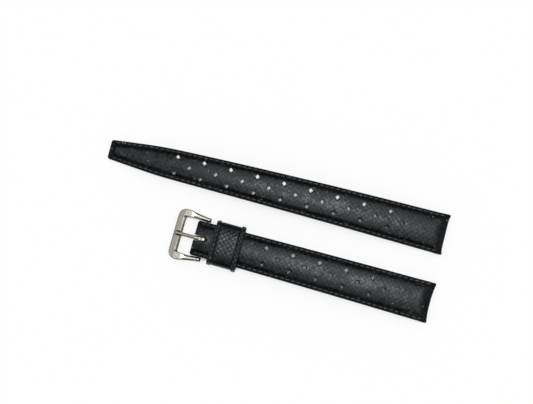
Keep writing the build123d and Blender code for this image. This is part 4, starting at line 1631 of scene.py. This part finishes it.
class STRAP_OT_buckle(bpy.types.Operator):
    """Builds the buckle frame and its tongue"""

    bl_idname = "strap.buckle"
    bl_label = "Buckle and tongue"

    def execute(self, context):
        sizes = context.scene.strap_steel
        finishes = context.scene.strap_finishes
        matrix = bar_matrix(True)
        piece = buckle_frame("buckle_frame_steel", sizes, matrix)
        cut_round_holes(piece, [(0.0, 0.0, PIN_HOLE_RADIUS)], matrix)
        tint = tuple(finishes.steel)
        steel = shared_material("Brushed steel", steel_material, tint=tint, **BRUSHED)
        dress(piece, "buckle", "brushed_steel", steel, "buckle_frame")
        piece = tongue("tongue_steel", sizes, matrix)
        tint = tuple(finishes.tongue_steel)
        steel = shared_material("Polished steel", steel_material, tint=tint, **POLISHED)
        dress(piece, "tongue", "polished_steel", steel, "buckle_tongue")
        return {"FINISHED"}


class STRAP_OT_spring_bar(bpy.types.Operator):
    """Builds the bar's spring and finishes its tube and tips"""

    bl_idname = "strap.spring_bar"
    bl_label = "Spring bar"

    def execute(self, context):
        # The bar and its spring take a darker tint as painted shade.
        tint = tuple(BAR_PAINTED_SHADE * part for part in context.scene.strap_finishes.steel)
        steel = shared_material("Turned steel", hidden_steel_material, tint=tint)
        for name in ("spring_bar_tube", "spring_bar_tip_near", "spring_bar_tip_far"):
            node = frame["nodes"][name]
            node.data.materials.clear()
            node.data.materials.append(steel)
        matrix = bar_matrix(False)
        for end, side in (("near", -1), ("far", 1)):
            piece = spring_half(f"spring_{end}_coils", side, matrix)
            dress(piece, "short_half", "polished_steel", steel, "spring_bar_spring")
            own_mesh(piece)
        return {"FINISHED"}


class STRAP_OT_stage(bpy.types.Operator):
    """Sets the table, the lamps and the camera"""

    bl_idname = "strap.stage"
    bl_label = "Table, lamps and camera"

    def execute(self, context):
        scene = context.scene
        corners = [(x * TABLE_REACH, y * TABLE_REACH, 0) for x, y in ((-1, -1), (1, -1), (1, 1), (-1, 1))]
        floor = mesh_object("table", corners, [(0, 1, 2, 3)])
        floor.data.materials.append(floor_material("Pale table", tuple(scene.strap_finishes.floor)))
        place_lamp("lamp_left", Vector((-0.64, 0.05, 0.8)), long_side=1.2, short_side=0.24, watts=1.6)
        place_lamp("lamp_right", Vector((0.9, 0.04, 0.47)), long_side=0.5, short_side=0.3, watts=1.4)
        set_world((0.07, 0.13), room=0.04, wide=0.36, bright=10.4)
        set_camera(scene.strap_stage)
        scene.view_settings.view_transform = "Standard"
        return {"FINISHED"}


def place_lamp(name, at, long_side, short_side, watts):
    """A soft rectangular lamp that faces the strap, its long side across the strap."""
    data = bpy.data.lights.new(name, "AREA")
    data.shape = "RECTANGLE"
    data.size = long_side
    data.size_y = short_side
    data.energy = watts
    lamp = bpy.data.objects.new(name, data)
    lamp.location = at
    lamp.rotation_mode = "QUATERNION"
    lamp.rotation_quaternion = at.to_track_quat("Z", "Y")
    bpy.context.scene.collection.objects.link(lamp)


def set_world(tilt, room, wide, bright):
    """A soft room with one bright patch overhead, white where the camera sees past the table.

    The level depends on the angle from the patch's middle, which leans from overhead by the tilt. A wide
    part fades out at 70 degrees and a bright part at 17 degrees, both on top of the dim room.
    """
    world = bpy.data.worlds.new("Soft room")
    bpy.context.scene.world = world
    world.use_nodes = True
    tree = world.node_tree
    tree.nodes.clear()
    towards = Vector((*tilt, 1)).normalized()
    direction = add_node(tree, "ShaderNodeTexCoord").outputs["Generated"]
    turn = add_node(tree, "ShaderNodeVectorMath", {"operation": "DOT_PRODUCT"}, {0: direction, 1: towards})
    wide_part = remap(tree, turn.outputs["Value"], 0.34, 0.906, 0.0, wide)
    bright_part = remap(tree, turn.outputs["Value"], 0.955, 0.9997, 0.0, bright)
    level = maths(tree, "ADD", maths(tree, "ADD", wide_part, bright_part), room)
    lit = add_node(tree, "ShaderNodeBackground", None, {"Color": DAYLIGHT, "Strength": level})
    seen = add_node(tree, "ShaderNodeBackground", None, {"Color": WHITE, "Strength": 1.0})
    path = tree.nodes.new("ShaderNodeLightPath")
    inputs = {0: path.outputs["Is Camera Ray"], 1: lit.outputs[0], 2: seen.outputs[0]}
    mix = add_node(tree, "ShaderNodeMixShader", None, inputs)
    add_node(tree, "ShaderNodeOutputWorld", None, {"Surface": mix.outputs[0]})


def set_camera(settings):
    """A long lens at the photograph's angle, as far off as the view's width asks."""
    data = bpy.data.cameras.new("camera")
    data.lens = settings.lens
    data.sensor_width = SENSOR_WIDTH
    data.clip_start = 0.01
    data.clip_end = 20.0
    camera = bpy.data.objects.new("camera", data)
    bpy.context.scene.collection.objects.link(camera)
    azimuth = math.radians(settings.azimuth)
    elevation = math.radians(settings.elevation)
    flat = math.cos(elevation)
    back = Vector((math.sin(azimuth) * flat, -math.cos(azimuth) * flat, math.sin(elevation)))
    distance = settings.view_width * data.lens / SENSOR_WIDTH
    camera.location = Vector((settings.aim_x, settings.aim_y, AIM_HEIGHT)) + back * distance
    camera.rotation_mode = "QUATERNION"
    camera.rotation_quaternion = back.to_track_quat("Z", "Y")
    bpy.context.scene.camera = camera


class STRAP_PT_panel(bpy.types.Panel):
    """Lists the strap's settings and the operators that build it"""

    bl_idname = "STRAP_PT_panel"
    bl_label = "Rubber strap"
    bl_space_type = "VIEW_3D"
    bl_region_type = "UI"
    bl_category = "Strap"

    def draw(self, context):
        for group in SETTINGS:
            box = self.layout.box()
            settings = getattr(context.scene, group)
            for name in settings.bl_rna.properties.keys():
                if name not in ("rna_type", "name"):
                    box.prop(settings, name)
        for operator in OPERATORS:
            self.layout.operator(operator.bl_idname)


SETTINGS = {
    "strap_sizes": StrapSizes,
    "strap_steel": SteelSizes,
    "strap_finishes": Finishes,
    "strap_stage": StageSettings,
}
OPERATORS = (
    STRAP_OT_long_half,
    STRAP_OT_short_half,
    STRAP_OT_keeper,
    STRAP_OT_buckle,
    STRAP_OT_spring_bar,
    STRAP_OT_stage,
)


def register():
    for group in SETTINGS.values():
        bpy.utils.register_class(group)
    for name, group in SETTINGS.items():
        setattr(bpy.types.Scene, name, PointerProperty(type=group))
    for item in (*OPERATORS, STRAP_PT_panel):
        bpy.utils.register_class(item)


def unregister():
    for item in (STRAP_PT_panel, *reversed(OPERATORS)):
        bpy.utils.unregister_class(item)
    for name in SETTINGS:
        delattr(bpy.types.Scene, name)
    for group in SETTINGS.values():
        bpy.utils.unregister_class(group)


def main():
    """Builds every piece in order."""
    register()
    bpy.ops.strap.long_half()
    bpy.ops.strap.short_half()
    bpy.ops.strap.keeper()
    bpy.ops.strap.buckle()
    bpy.ops.strap.spring_bar()
    bpy.ops.strap.stage()


if __name__ == "__main__":
    main()
